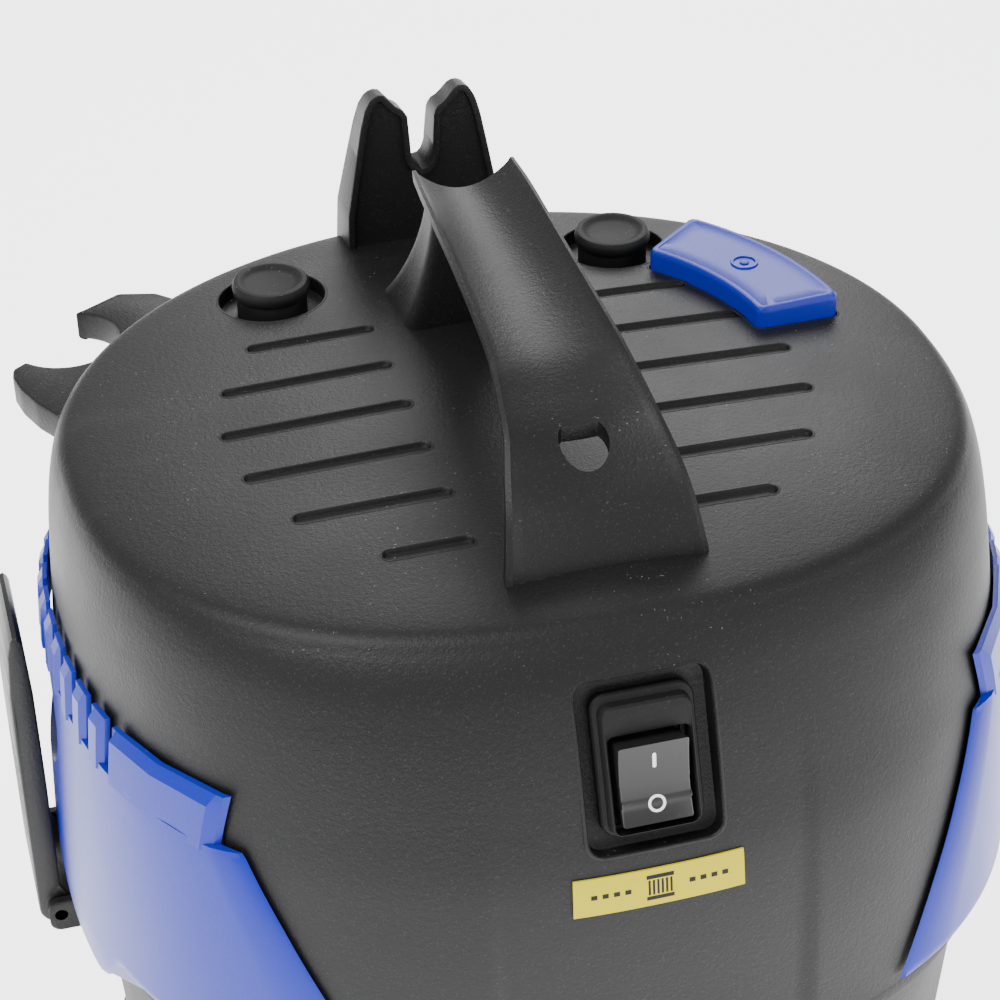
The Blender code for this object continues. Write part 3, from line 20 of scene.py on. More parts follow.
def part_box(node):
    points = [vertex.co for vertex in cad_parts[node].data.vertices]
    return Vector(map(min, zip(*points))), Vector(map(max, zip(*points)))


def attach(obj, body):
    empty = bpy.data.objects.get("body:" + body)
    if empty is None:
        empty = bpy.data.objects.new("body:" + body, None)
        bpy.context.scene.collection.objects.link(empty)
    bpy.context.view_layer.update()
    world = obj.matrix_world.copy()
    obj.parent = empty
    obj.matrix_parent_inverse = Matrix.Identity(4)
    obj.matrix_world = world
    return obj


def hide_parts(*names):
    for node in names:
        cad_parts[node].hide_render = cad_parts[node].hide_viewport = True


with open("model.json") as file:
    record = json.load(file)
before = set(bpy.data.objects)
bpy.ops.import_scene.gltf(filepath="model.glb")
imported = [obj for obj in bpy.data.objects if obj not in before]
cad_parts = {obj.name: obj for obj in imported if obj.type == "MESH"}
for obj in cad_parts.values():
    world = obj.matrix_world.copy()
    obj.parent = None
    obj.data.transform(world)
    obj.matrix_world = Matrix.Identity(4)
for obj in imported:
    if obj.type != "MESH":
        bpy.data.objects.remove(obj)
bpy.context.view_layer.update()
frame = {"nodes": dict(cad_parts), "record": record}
LOG = logging.getLogger("shop_vacuum")
Array = np.ndarray
MM = 0.001
CREASE = 32.0                   # edges sharper than this many degrees stay sharp
CAP_PLACE = (0.0665, 0.0865)    # middle of the right rubber cap in plan
SCOOP_Y = 0.020                 # middle of the finger scoops behind the latches
SCOOP_DROP = 0.106
RECESS_DEPTH = 0.007            # floor of the switch recess below the switch plane
PIN_RISE = 0.0075               # latch pin above the latch's foot


class Body(Enum):
    """Bodies that pieces ride on."""

    TANK = "tank"
    HEAD = "head"
    ROCKER = "rocker"
    BUTTON = "button"
    LATCH_LEFT = "latch_left"
    LATCH_RIGHT = "latch_right"


# ---------------------------------------------------------------- shapes
def soft_step(low: float, high: float, value: Array) -> Array:
    """Smooth rise from 0 at low to 1 at high: t squared times (3 - 2t).

    Args:
        low: where the rise starts.
        high: where it ends.
        value: where it is read.

    Returns:
        The height of the rise, from 0 to 1.
    """
    t = np.clip((np.asarray(value, float) - low) / (high - low), 0.0, 1.0)
    return t * t * (3.0 - 2.0 * t)


def fair(knots: Array, values: Array, at: Array) -> Array:
    """Monotone cubic through knots: Hermite pieces whose slopes are harmonic means.

    Args:
        knots: rising places of the known values.
        values: one known value at each knot.
        at: places to read.

    Returns:
        The curve's value at each place.
    """
    knots = np.asarray(knots, float)
    values = np.asarray(values, float)
    width = np.diff(knots)
    rise = np.diff(values) / width
    slope = np.empty_like(values)
    slope[0] = rise[0]
    slope[-1] = rise[-1]
    product = rise[:-1] * rise[1:]
    total = np.where(product > 0, rise[:-1] + rise[1:], 1.0)
    slope[1:-1] = np.where(product > 0, 2.0 * product / total, 0.0)
    place = np.clip(np.asarray(at, float), knots[0], knots[-1])
    k = np.clip(np.searchsorted(knots, place, side="right") - 1, 0, len(knots) - 2)
    t = (place - knots[k]) / width[k]
    rest = 1.0 - t
    return (values[k] * (1.0 + 2.0 * t) * rest ** 2 + slope[k] * width[k] * t * rest ** 2
            + values[k + 1] * t ** 2 * (3.0 - 2.0 * t) - slope[k + 1] * width[k] * t ** 2 * rest)


def around(points: Array, count: int) -> Array:
    """Closed outline read again at equal steps of its own length.

    Args:
        points: corners of the outline, one row each.
        count: how many points to return.

    Returns:
        The outline as count rows.
    """
    ring = np.vstack([points, points[:1]])
    length = np.concatenate([[0.0], np.cumsum(np.linalg.norm(np.diff(ring, axis=0), axis=1))])
    at = np.linspace(0.0, length[-1], count, endpoint=False)
    return np.stack([np.interp(at, length, ring[:, k]) for k in range(ring.shape[1])], axis=1)


def turn(count: int) -> Array:
    """Angles at equal steps of a full turn.

    Args:
        count: how many.

    Returns:
        The angles in radians.
    """
    return np.linspace(0.0, 2.0 * pi, count, endpoint=False)


def inward(outline: Array) -> Array:
    """Unit normals that point into a closed outline.

    Args:
        outline: rows of two.

    Returns:
        One normal for each row.
    """
    after = np.roll(outline, -1, axis=0)
    step = after - np.roll(outline, 1, axis=0)
    step /= np.linalg.norm(step, axis=1)[:, None]
    area = np.sum(outline[:, 0] * after[:, 1] - outline[:, 1] * after[:, 0])
    return np.sign(area) * np.stack([-step[:, 1], step[:, 0]], axis=1)


def stacked(outline: Callable[[float], Array], profile: tuple) -> Array:
    """Outline drawn in and set at a height, once for each row of a profile.

    Args:
        outline: gives the outline at a distance inside its edge.
        profile: rows of distance inside the edge and height.

    Returns:
        The rings as rows x columns x 3.
    """
    edges = [(outline(inset), height) for inset, height in profile]
    return np.stack([np.column_stack([edge, np.full(len(edge), z)]) for edge, z in edges])


def rounded_box(half_width: float, half_height: float, corner: float, count: int = 96) -> Array:
    """Rectangle with quarter-circle corners, turning from +X towards +Y.

    Args:
        half_width: half its size along the first axis.
        half_height: half its size along the second.
        corner: radius of each corner.
        count: how many points to return.

    Returns:
        The outline as count rows of two.
    """
    a = turn(64) + pi / 64
    x = np.sign(np.cos(a)) * (half_width - corner) + corner * np.cos(a)
    y = np.sign(np.sin(a)) * (half_height - corner) + corner * np.sin(a)
    return around(np.stack([x, y], axis=1), count)


def add_object(name: str, mesh: bpy.types.Mesh, crease: float = CREASE) -> bpy.types.Object:
    """New object at the origin, smooth but for edges sharper than the crease angle.

    Args:
        name: its name.
        mesh: its mesh, in frame coordinates.
        crease: angle in degrees above which an edge stays sharp.

    Returns:
        The object.
    """
    mesh.shade_smooth()
    mesh.set_sharp_from_angle(angle=radians(crease))
    made = bpy.data.objects.new(name, mesh)
    bpy.context.scene.collection.objects.link(made)
    return made


def net(name: str, grid: Array, wrap: bool = True, ends: bool = True,
        crease: float = CREASE) -> bpy.types.Object:
    """Mesh of quads between neighbouring rows of a grid of points.

    Args:
        name: the object's name.
        grid: points as rows x columns x 3.
        wrap: join the last column to the first.
        ends: close the first and last rows with flat faces, which makes a closed body.
        crease: angle above which edges stay sharp.

    Returns:
        The object.
    """
    rows, columns = grid.shape[:2]
    index = np.arange(rows * columns).reshape(rows, columns)
    near = index if wrap else index[:, :-1]
    far = np.roll(index, -1, axis=1) if wrap else index[:, 1:]
    quads = np.stack([near[:-1], far[:-1], far[1:], near[1:]], axis=-1).reshape(-1, 4)
    faces = quads.tolist()
    if ends:
        faces += [index[0, ::-1].tolist(), index[-1].tolist()]
    mesh = bpy.data.meshes.new(name)
    mesh.from_pydata(grid.reshape(-1, 3).tolist(), [], faces)
    if ends:
        turn_outward(mesh)
    return add_object(name, mesh, crease)


def turn_outward(mesh: bpy.types.Mesh) -> None:
    """Merge doubled points and face the surface outwards.

    Args:
        mesh: the mesh to change.
    """
    work = bmesh.new()
    work.from_mesh(mesh)
    bmesh.ops.remove_doubles(work, verts=work.verts, dist=1e-6)
    bmesh.ops.recalc_face_normals(work, faces=work.faces)
    work.to_mesh(mesh)
    work.free()


def hoop(name: str, grid: Array) -> bpy.types.Object:
    """Closed ring-shaped body whose last row repeats its first.

    Args:
        name: the object's name.
        grid: points as rows x columns x 3.

    Returns:
        The object.
    """
    made = net(name, grid, ends=False)
    turn_outward(made.data)
    return made


def open_tray(name: str, grid: Array, facing: tuple[float, float, float],
              floor: bool = True) -> bpy.types.Object:
    """Open lining of a hollow, whose inside is the side that is seen.

    Args:
        name: the object's name.
        grid: rings from its lip to its floor.
        facing: direction in which its mouth opens.
        floor: close the last ring.

    Returns:
        The object.
    """
    made = net(name, grid, ends=False)
    work = bmesh.new()
    work.from_mesh(made.data)
    if floor:
        work.verts.ensure_lookup_table()
        work.faces.new(work.verts[-grid.shape[1]:])
    bmesh.ops.recalc_face_normals(work, faces=work.faces)
    mouth = Vector(facing)
    if sum(face.normal.dot(mouth) * face.calc_area() for face in work.faces) < 0:
        bmesh.ops.reverse_faces(work, faces=work.faces)
    work.to_mesh(made.data)
    work.free()
    return made


def slab(name: str, inner: Array, outer: Array, crease: float = CREASE) -> bpy.types.Object:
    """Closed plate between two sheets that share a grid.

    Args:
        name: the object's name.
        inner: back sheet as rows x columns x 3.
        outer: front sheet on the same grid.
        crease: angle above which edges stay sharp.

    Returns:
        The object.
    """
    loops = np.concatenate([outer, inner[:, ::-1]], axis=1)
    return net(name, loops, crease=crease)


def turned(name: str, profile: Array, centre: tuple[float, float, float], axis: str = "Z",
           steps: int = 72, ring: bool = False) -> bpy.types.Object:
    """Closed turned body: a profile of radius and height carried round an axis.

    Args:
        name: the object's name.
        profile: rows of radius and distance along the axis; a zero radius closes a pole.
        centre: a point on the axis, from which distances are counted.
        axis: X, Y or Z.
        steps: points round the axis.
        ring: the profile ends where it starts, off the axis.

    Returns:
        The object.
    """
    a = turn(steps)
    rows = np.asarray(profile, float)
    r = np.maximum(rows[:, :1], 2e-5)
    along = np.repeat(rows[:, 1:], steps, axis=1)
    flat = {"Z": (r * np.cos(a), r * np.sin(a), along), "X": (along, r * np.cos(a), r * np.sin(a)),
            "Y": (r * np.sin(a), along, r * np.cos(a))}[axis]
    grid = np.stack(flat, axis=-1) + np.array(centre)
    return hoop(name, grid) if ring else net(name, grid)


def settle(piece: bpy.types.Object, crease: float = CREASE) -> bpy.types.Object:
    """Apply the modifiers of a piece into its mesh.

    Args:
        piece: the piece to change.
        crease: angle above which edges stay sharp.

    Returns:
        The same piece.
    """
    bpy.context.view_layer.update()
    view = bpy.context.evaluated_depsgraph_get()
    mesh = bpy.data.meshes.new_from_object(piece.evaluated_get(view))
    piece.modifiers.clear()
    old = piece.data
    piece.data = mesh
    mesh.name = piece.name
    bpy.data.meshes.remove(old)
    mesh.shade_smooth()
    mesh.set_sharp_from_angle(angle=radians(crease))
    return piece


def join(piece: bpy.types.Object, *others: bpy.types.Object) -> bpy.types.Object:
    """Put other pieces into a piece's mesh.

    Args:
        piece: the piece that stays.
        others: pieces that become part of it.

    Returns:
        The same piece.
    """
    work = bmesh.new()
    for source in (piece, *others):
        work.from_mesh(source.data)
    work.to_mesh(piece.data)
    work.free()
    for source in others:
        bpy.data.objects.remove(source)
    return piece


def cut(piece: bpy.types.Object, *cutters: bpy.types.Object) -> bpy.types.Object:
    """Cut closed bodies out of a piece.

    Args:
        piece: the closed piece to cut.
        cutters: the bodies, which are used up.

    Returns:
        The same piece.
    """
    tool = join(cutters[0], *cutters[1:]) if len(cutters) > 1 else cutters[0]
    change = piece.modifiers.new("cut", "BOOLEAN")
    change.operation = "DIFFERENCE"
    change.solver = "MANIFOLD"
    change.object = tool
    settle(piece)
    bpy.data.objects.remove(tool)
    return piece


def prism(name: str, outline: Array, lift: Callable[[Array], Array],
          levels: tuple[float, ...]) -> bpy.types.Object:
    """Closed body of one outline at several heights.

    Args:
        name: the object's name.
        outline: rows of two.
        lift: turns rows of outline point and height into frame points.
        levels: heights, in order.

    Returns:
        The object.
    """
    rows = stacked(lambda inset: outline, tuple((0.0, level) for level in levels))
    return net(name, lift(rows))


# ---------------------------------------------------------------- finishes
class Effects:
    """Shader node groups shared by the finishes."""

    @staticmethod
    def start(name: str, inputs: dict[str, float], outputs: tuple[str, ...]) -> tuple:
        """New group with float inputs and outputs.

        Args:
            name: the group's name.
            inputs: each input and its usual value.
            outputs: names of the outputs.

        Returns:
            The group, its input node and its output node.
        """
        group = bpy.data.node_groups.new(name, "ShaderNodeTree")
        for title, value in inputs.items():
            socket = group.interface.new_socket(title, in_out="INPUT",
                                                socket_type="NodeSocketFloat")
            socket.default_value = value
        for title in outputs:
            group.interface.new_socket(title, in_out="OUTPUT", socket_type="NodeSocketFloat")
        return group, group.nodes.new("NodeGroupInput"), group.nodes.new("NodeGroupOutput")

    @staticmethod
    def noise(group: bpy.types.NodeTree, scale: float, detail: float = 3.0,
              squeeze: tuple[float, float, float] = (1.0, 1.0, 1.0)) -> bpy.types.Node:
        """Noise on Object coordinates.

        Args:
            group: the tree to add it to.
            scale: how fine it is.
            detail: how many octaves.
            squeeze: scale along each axis.

        Returns:
            The noise node.
        """
        where = group.nodes.new("ShaderNodeTexCoord")
        mapping = group.nodes.new("ShaderNodeMapping")
        mapping.inputs["Scale"].default_value = squeeze
        node = group.nodes.new("ShaderNodeTexNoise")
        node.inputs["Scale"].default_value = scale
        node.inputs["Detail"].default_value = detail
        group.links.new(where.outputs["Object"], mapping.inputs["Vector"])
        group.links.new(mapping.outputs["Vector"], node.inputs["Vector"])
        return node

    @staticmethod
    def math(group: bpy.types.NodeTree, what: str, first: object, second: object) -> object:
        """Math node on sockets or numbers.

        Args:
            group: the tree to add it to.
            what: the operation's name.
            first: a socket or a number.
            second: a socket or a number.

        Returns:
            The result's socket.
        """
        node = group.nodes.new("ShaderNodeMath")
        node.operation = what
        for socket, value in zip(node.inputs, (first, second)):
            if isinstance(value, (int, float)):
                socket.default_value = value
            else:
                group.links.new(value, socket)
        return node.outputs[0]

    @staticmethod
    def window(group: bpy.types.NodeTree, value: object, low: float, high: float) -> object:
        """Value spread from 0 at low to 1 at high, held outside.

        Args:
            group: the tree to add it to.
            value: the socket read.
            low: value that gives 0.
            high: value that gives 1.

        Returns:
            The result's socket.
        """
        node = group.nodes.new("ShaderNodeMapRange")
        node.inputs["From Min"].default_value = low
        node.inputs["From Max"].default_value = high
        group.links.new(value, node.inputs["Value"])
        return node.outputs["Result"]

    @classmethod
    def moulded(cls) -> bpy.types.NodeTree:
        """Spark-eroded mould texture: pebbled height, light flecks and slow cloudiness."""
        group, given, out = cls.start("moulded_skin", {"Fleck": 0.25},
                                      ("Height", "Fleck", "Cloud"))
        pebble = cls.noise(group, 1500.0, 2.0)
        coarse = cls.noise(group, 620.0, 1.0)
        height = cls.math(group, "ADD", pebble.outputs["Fac"], coarse.outputs["Fac"])
        fleck = cls.math(group, "MULTIPLY", cls.window(group, pebble.outputs["Fac"], 0.60, 0.74),
                         given.outputs["Fleck"])
        cloud = cls.noise(group, 14.0, 4.0)
        group.links.new(height, out.inputs["Height"])
        group.links.new(fleck, out.inputs["Fleck"])
        group.links.new(cloud.outputs["Fac"], out.inputs["Cloud"])
        return group

    @classmethod
    def dust(cls) -> bpy.types.NodeTree:
        """Dust specks that settle on faces that look up, and pale rubbed streaks."""
        group, given, out = cls.start("dust_and_rubs", {"Dust": 0.35, "Rub": 0.10},
                                      ("Dust", "Rub"))
        spots = cls.noise(group, 900.0, 1.0)
        patch = cls.noise(group, 22.0, 3.0)
        normal = group.nodes.new("ShaderNodeNewGeometry")
        parts = group.nodes.new("ShaderNodeSeparateXYZ")
        group.links.new(normal.outputs["Normal"], parts.inputs["Vector"])
        up = cls.window(group, parts.outputs["Z"], 0.2, 0.9)
        speck = cls.window(group, spots.outputs["Fac"], 0.73, 0.78)
        where = cls.window(group, patch.outputs["Fac"], 0.42, 0.62)
        mask = cls.math(group, "MULTIPLY", cls.math(group, "MULTIPLY", speck, where), up)
        streak = cls.noise(group, 60.0, 6.0, (0.35, 1.0, 1.4))
        area = cls.noise(group, 9.0, 2.0)
        rub = cls.math(group, "MULTIPLY", cls.window(group, streak.outputs["Fac"], 0.56, 0.72),
                       cls.window(group, area.outputs["Fac"], 0.50, 0.66))
        for title, spread in (("Dust", mask), ("Rub", rub)):
            weighed = cls.math(group, "MULTIPLY", spread, given.outputs[title])
            group.links.new(weighed, out.inputs[title])
        return group

    @classmethod
    def brushed(cls) -> bpy.types.NodeTree:
        """Fine lines round machined and drawn metal."""
        group, _, out = cls.start("drawn_metal", {}, ("Height", "Tone"))
        lines = cls.noise(group, 500.0, 3.0, (1.0, 1.0, 9.0))
        group.links.new(lines.outputs["Fac"], out.inputs["Height"])
        group.links.new(lines.outputs["Fac"], out.inputs["Tone"])
        return group


@dataclass(frozen=True)
class Finish:
    """One finish of the machine: colour, gloss and how strong each effect is."""

    slot: str
    colour: tuple[float, float, float]
    roughness: float
    grain: float = 0.10
    fleck: float = 0.25
    dust: float = 0.35
    rub: float = 0.10
    cloud: float = 0.25
    metallic: float = 0.0
    coat: float = 0.0
    specular: float = 0.5
    rub_grey: float = 0.10
    fleck_grey: float = 0.22
    dust_grey: float = 0.42

    def make(self, skin: bpy.types.NodeTree, dust: bpy.types.NodeTree,
             metal: bpy.types.NodeTree) -> bpy.types.Material:
        """Build the material.

        Args:
            skin: moulded skin group, used by everything that isn't metal.
            dust: dust and rubs group.
            metal: drawn metal group.

        Returns:
            The material.
        """
        material = bpy.data.materials.new(f"{self.slot}_finish")
        material.use_nodes = True
        tree = material.node_tree
        shader = tree.nodes["Principled BSDF"]
        shader.inputs["Metallic"].default_value = self.metallic
        shader.inputs["Coat Weight"].default_value = self.coat
        shader.inputs["Coat Roughness"].default_value = 0.15
        shader.inputs["Specular IOR Level"].default_value = self.specular
        surface = tree.nodes.new("ShaderNodeGroup")
        surface.node_tree = metal if self.metallic else skin
        age = tree.nodes.new("ShaderNodeGroup")
        age.node_tree = dust
        age.inputs["Dust"].default_value = self.dust
        age.inputs["Rub"].default_value = self.rub
        colour = self.tint(tree, self.colour, age.outputs["Rub"], self.rub_grey)
        if self.metallic:
            tone = surface.outputs["Tone"]
        else:
            tone = surface.outputs["Cloud"]
            surface.inputs["Fleck"].default_value = self.fleck
            colour = self.tint(tree, colour, surface.outputs["Fleck"], self.fleck_grey)
        colour = self.tint(tree, colour, age.outputs["Dust"], self.dust_grey)
        tree.links.new(colour, shader.inputs["Base Color"])
        spread = Effects.math(tree, "MULTIPLY", Effects.math(tree, "SUBTRACT", tone, 0.5),
                              self.cloud)
        rough = Effects.math(tree, "ADD", spread, self.roughness)
        tree.links.new(rough, shader.inputs["Roughness"])
        bump = tree.nodes.new("ShaderNodeBump")
        bump.inputs["Strength"].default_value = self.grain
        bump.inputs["Distance"].default_value = 0.0004
        tree.links.new(surface.outputs["Height"], bump.inputs["Height"])
        tree.links.new(bump.outputs["Normal"], shader.inputs["Normal"])
        return material

    @staticmethod
    def tint(tree: bpy.types.NodeTree, base: object, mask: object, grey: float) -> object:
        """Mix a pale grey over a colour by a mask.

        Args:
            tree: the material's tree.
            base: a colour or a colour socket.
            mask: the mask's socket.
            grey: brightness of the pale grey.

        Returns:
            The mixed colour's socket.
        """
        node = tree.nodes.new("ShaderNodeMix")
        node.data_type = "RGBA"
        first = node.inputs[6]
        if isinstance(base, tuple):
            first.default_value = (*base, 1.0)
        else:
            tree.links.new(base, first)
        node.inputs[7].default_value = (grey, grey, grey * 1.02, 1.0)
        tree.links.new(mask, node.inputs[0])
        return node.outputs[2]


FINISHES = (
    Finish("cover_black", (0.006, 0.006, 0.0064), 0.46, 0.30, 0.08, 0.30, 0.06, specular=0.24),
    Finish("tank_black", (0.008, 0.008, 0.0085), 0.54, 0.45, 0.12, 0.35, 0.07, specular=0.26),
    Finish("panel_blue", (0.002, 0.012, 0.30), 0.34, 0.10, 0.05, 0.2, 0.05, 0.12, specular=0.3),
    Finish("button_blue", (0.002, 0.012, 0.31), 0.32, 0.10, 0.05, 0.2, 0.05, 0.12, specular=0.3),
    Finish("latch_black", (0.009, 0.009, 0.0095), 0.42, 0.22, 0.10, 0.3, 0.25, specular=0.3),
    Finish("rubber_black", (0.006, 0.006, 0.0063), 0.60, 0.15, 0.05, 0.4, 0.15, specular=0.22),
    Finish("rocker_black", (0.014, 0.014, 0.015), 0.24, 0.03, 0.0, 0.2, 0.1, 0.05, specular=0.4),
    Finish("label_yellow", (0.50, 0.42, 0.0), 0.40, 0.04, 0.0, 0.0, 0.0, 0.08, specular=0.2),
    Finish("inner_black", (0.010, 0.010, 0.0105), 0.46, 0.20, 0.10, 0.2, 0.15, specular=0.3),
    Finish("steel", (0.60, 0.60, 0.62), 0.32, 0.15, metallic=1.0, dust=0.0),
    Finish("aluminium", (0.74, 0.74, 0.76), 0.40, 0.20, metallic=1.0, dust=0.0),
    Finish("copper", (0.66, 0.30, 0.14), 0.38, 0.25, metallic=1.0, dust=0.0),
    Finish("carbon", (0.05, 0.05, 0.05), 0.55, 0.2),
    Finish("board_green", (0.02, 0.14, 0.05), 0.35, 0.1),
    Finish("foam_grey", (0.20, 0.20, 0.21), 0.95, 1.0, 0.5),
    Finish("filter_paper", (0.74, 0.71, 0.62), 0.85, 0.5, 0.1),
    Finish("float_white", (0.80, 0.80, 0.79), 0.40, 0.1, 0.0),
    Finish("castor_grey", (0.050, 0.050, 0.053), 0.46, 0.25, 0.2, 0.5, 0.3),
    Finish("tyre_grey", (0.075, 0.075, 0.078), 0.55, 0.30, 0.2, 0.6, 0.5),
)


class Paint:
    """All finishes, made once."""

    def __init__(self) -> None:
        """Build the groups and the materials."""
        groups = (Effects.moulded(), Effects.dust(), Effects.brushed())
        self.materials = {finish.slot: finish.make(*groups) for finish in FINISHES}

    def dress(self, piece: bpy.types.Object, body: Body | str, slot: str,
              *nodes: str) -> bpy.types.Object:
        """Give a piece its finish, its body and the nodes it stands for.

        Args:
            piece: the finished piece.
            body: the body it rides on.
            slot: the record's material slot.
            nodes: nodes that it replaces.

        Returns:
            The same piece.
        """
        piece.data.materials.clear()
        piece.data.materials.append(self.materials[slot])
        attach(piece, body.value if isinstance(body, Body) else body)
        if nodes:
            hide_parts(*nodes)
        return piece

    def dress_nodes(self) -> None:
        """Give every node that stays its slot's finish."""
        for row in frame["record"]["subparts"]:
            node = frame["nodes"][row["node"]]
            for holder in node.material_slots:
                holder.material = self.materials[row["material_slot"]]


# ---------------------------------------------------------------- the head's form
@dataclass(frozen=True)
class HeadForm:
    """The head's outer surface: rows of ovals, each at a drop below the crown.

    The front and rear halves of an oval are superellipses that meet on the X axis. A row
    holds its drop and how far it lies inside the seam's outline at sides, front and rear.
    """

    crown: float
    height: float
    half_width: float = 0.172
    front: float = 0.179
    rear: float = 0.168
    front_power: float = 2.4
    rear_power: float = 2.0
    rows: tuple = (
        (0.0000, 0.132, 0.141, 0.130), (0.0012, 0.090, 0.112, 0.100),
        (0.0030, 0.041, 0.0735, 0.054), (0.0062, 0.017, 0.0415, 0.032),
        (0.0110, 0.013, 0.0355, 0.028), (0.0200, 0.0105, 0.0285, 0.024),
        (0.0340, 0.0085, 0.022, 0.020), (0.0600, 0.0065, 0.013, 0.0145),
        (0.0880, 0.0045, 0.0055, 0.010), (0.1200, 0.0025, 0.002, 0.006),
        (0.1660, 0.0, 0.0, 0.0))

    def sizes(self, row: Array) -> tuple[Array, Array]:
        """Drop, and half width, front and rear, at a place counted in rows.

        Args:
            row: place, 0 at the crown and 10 at the seam.

        Returns:
            The drop, and the three sizes stacked in a last axis.
        """
        table = np.array(self.rows)
        knots = np.arange(len(table))
        base = (self.half_width, self.front, self.rear)
        sizes = [base[k] - fair(knots, table[:, k + 1], row) for k in range(3)]
        return fair(knots, table[:, 0], row), np.stack(sizes, axis=-1)

    def row_of(self, drop: Array) -> Array:
        """Place in rows of a drop.

        Args:
            drop: drop below the crown.

        Returns:
            The place.
        """
        rows = np.linspace(0.0, len(self.rows) - 1.0, 1200)
        return np.interp(drop, self.sizes(rows)[0], rows)

    def plan(self, angle: Array, sizes: Array) -> tuple[Array, Array]:
        """Point of an oval at an angle from the front, turning towards +X.

        Args:
            angle: the angle in radians.
            sizes: half width, front and rear in the last axis.

        Returns:
            X and Y.
        """
        dx = np.sin(angle)
        dy = -np.cos(angle)
        ahead = dy < 0
        depth = np.where(ahead, sizes[..., 1], sizes[..., 2])
        power = np.where(ahead, self.front_power, self.rear_power)
        reach = ((np.abs(dx) / sizes[..., 0]) ** power + (np.abs(dy) / depth) ** power)
        reach = reach ** (-1.0 / power)
        return reach * dx, reach * dy

    def share(self, x: Array, y: Array, sizes: Array) -> Array:
        """How far out a point lies in an oval: 1 on its outline.

        Args:
            x: place across.
            y: place along.
            sizes: the oval's sizes.

        Returns:
            The share.
        """
        ahead = np.asarray(y) < 0
        depth = np.where(ahead, sizes[..., 1], sizes[..., 2])
        power = np.where(ahead, self.front_power, self.rear_power)
        both = (np.abs(x) / sizes[..., 0]) ** power + (np.abs(y) / depth) ** power
        return both ** (1.0 / power)

    def front_relief(self, x: Array, y: Array, drop: Array) -> Array:
        """How far the wall stands in: the sunk front field, and the finger scoops.

        Args:
            x: place across.
            y: place along.
            drop: drop below the crown.

        Returns:
            The depth.
        """
        field = 1.0 - soft_step(0.0505, 0.0555, np.abs(x))
        low = np.asarray(y) < 0
        sunk = 0.0022 * soft_step(0.030, 0.150, drop) * field * low
        along = (np.asarray(y) - SCOOP_Y) / 0.043
        bowl = 1.0 - along ** 2 - ((drop - SCOOP_DROP) / 0.032) ** 2
        return sunk + 0.0052 * np.sqrt(np.clip(bowl, 0.0, 1.0))

    def wall(self, angle: Array, drop: Array, out: float | Array = 0.0,
             relief: bool = True) -> Array:
        """Points of the wall.

        Args:
            angle: angle from the front.
            drop: drop below the crown.
            out: distance outwards in plan.
            relief: sink the front field and the scoops.

        Returns:
            Points with X, Y, Z last.
        """
        _, sizes = self.sizes(self.row_of(drop))
        sizes = sizes + np.asarray(out)[..., None] if np.ndim(out) else sizes + out
        x, y = self.plan(angle, sizes)
        if relief:
            deep = self.front_relief(x, y, drop)
            x, y = self.plan(angle, sizes - deep[..., None])
        return np.stack([x, y, np.broadcast_to(self.crown - drop, x.shape)], axis=-1)

    def top(self, x: Array, y: Array) -> Array:
        """Height of the top surface over a place in plan, by halving the rows.

        Args:
            x: place across.
            y: place along.

        Returns:
            The height.
        """
        low = np.zeros(np.shape(x))
        high = np.full(np.shape(x), 5.0)
        for _ in range(26):
            middle = (low + high) / 2.0
            outside = self.share(x, y, self.sizes(middle)[1]) > 1.0
            low = np.where(outside, middle, low)
            high = np.where(outside, high, middle)
        return self.crown - self.sizes(high)[0]

    def side(self, y: Array, drop: Array, out: Array) -> Array:
        """Half width of the wall at a place along Y.

        Args:
            y: place along.
            drop: drop below the crown, held at the seam.
            out: distance outwards.

        Returns:
            The half width.
        """
        _, sizes = self.sizes(self.row_of(np.minimum(drop, self.height)))
        sizes = sizes + np.asarray(out)[..., None]
        ahead = np.asarray(y) < 0
        depth = np.where(ahead, sizes[..., 1], sizes[..., 2])
        power = np.where(ahead, self.front_power, self.rear_power)
        rest = np.clip(1.0 - (np.abs(y) / depth) ** power, 0.0, 1.0)
        return sizes[..., 0] * rest ** (1.0 / power)


@dataclass(frozen=True)
class SwitchFrame:
    """Plane of the power switch: across, up its slope and out of the front wall."""

    form: HeadForm
    drop: float = 0.0475
    tilt: float = radians(20.0)

    def lift(self, points: Array) -> Array:
        """Points given across, up and out, in frame coordinates.

        Args:
            points: rows of across, up, out.

        Returns:
            The same points as X, Y, Z.
        """
        _, sizes = self.form.sizes(self.form.row_of(np.array([self.drop])))
        origin = np.array([0.0, -sizes[0, 1], self.form.crown - self.drop])
        up = np.array([0.0, sin(self.tilt), cos(self.tilt)])
        out = np.array([0.0, -cos(self.tilt), sin(self.tilt)])
        across = np.array([1.0, 0.0, 0.0])
        return (origin + points[..., :1] * across + points[..., 1:2] * up
                + points[..., 2:3] * out)

    def skin(self, outline: Array) -> Array:
        """Distance out at which each outline point meets the head's wall.

        Args:
            outline: rows of across and up.

        Returns:
            One distance for each row.
        """
        low = np.full(len(outline), -0.02)
        high = np.full(len(outline), 0.02)
        for _ in range(26):
            middle = (low + high) / 2.0
            spot = self.lift(np.column_stack([outline, middle]))
            drop = self.form.crown - spot[:, 2]
            sizes = self.form.sizes(self.form.row_of(drop))[1]
            inside = self.form.share(spot[:, 0], spot[:, 1], sizes) < 1.0
            low = np.where(inside, middle, low)
            high = np.where(inside, high, middle)
        return low


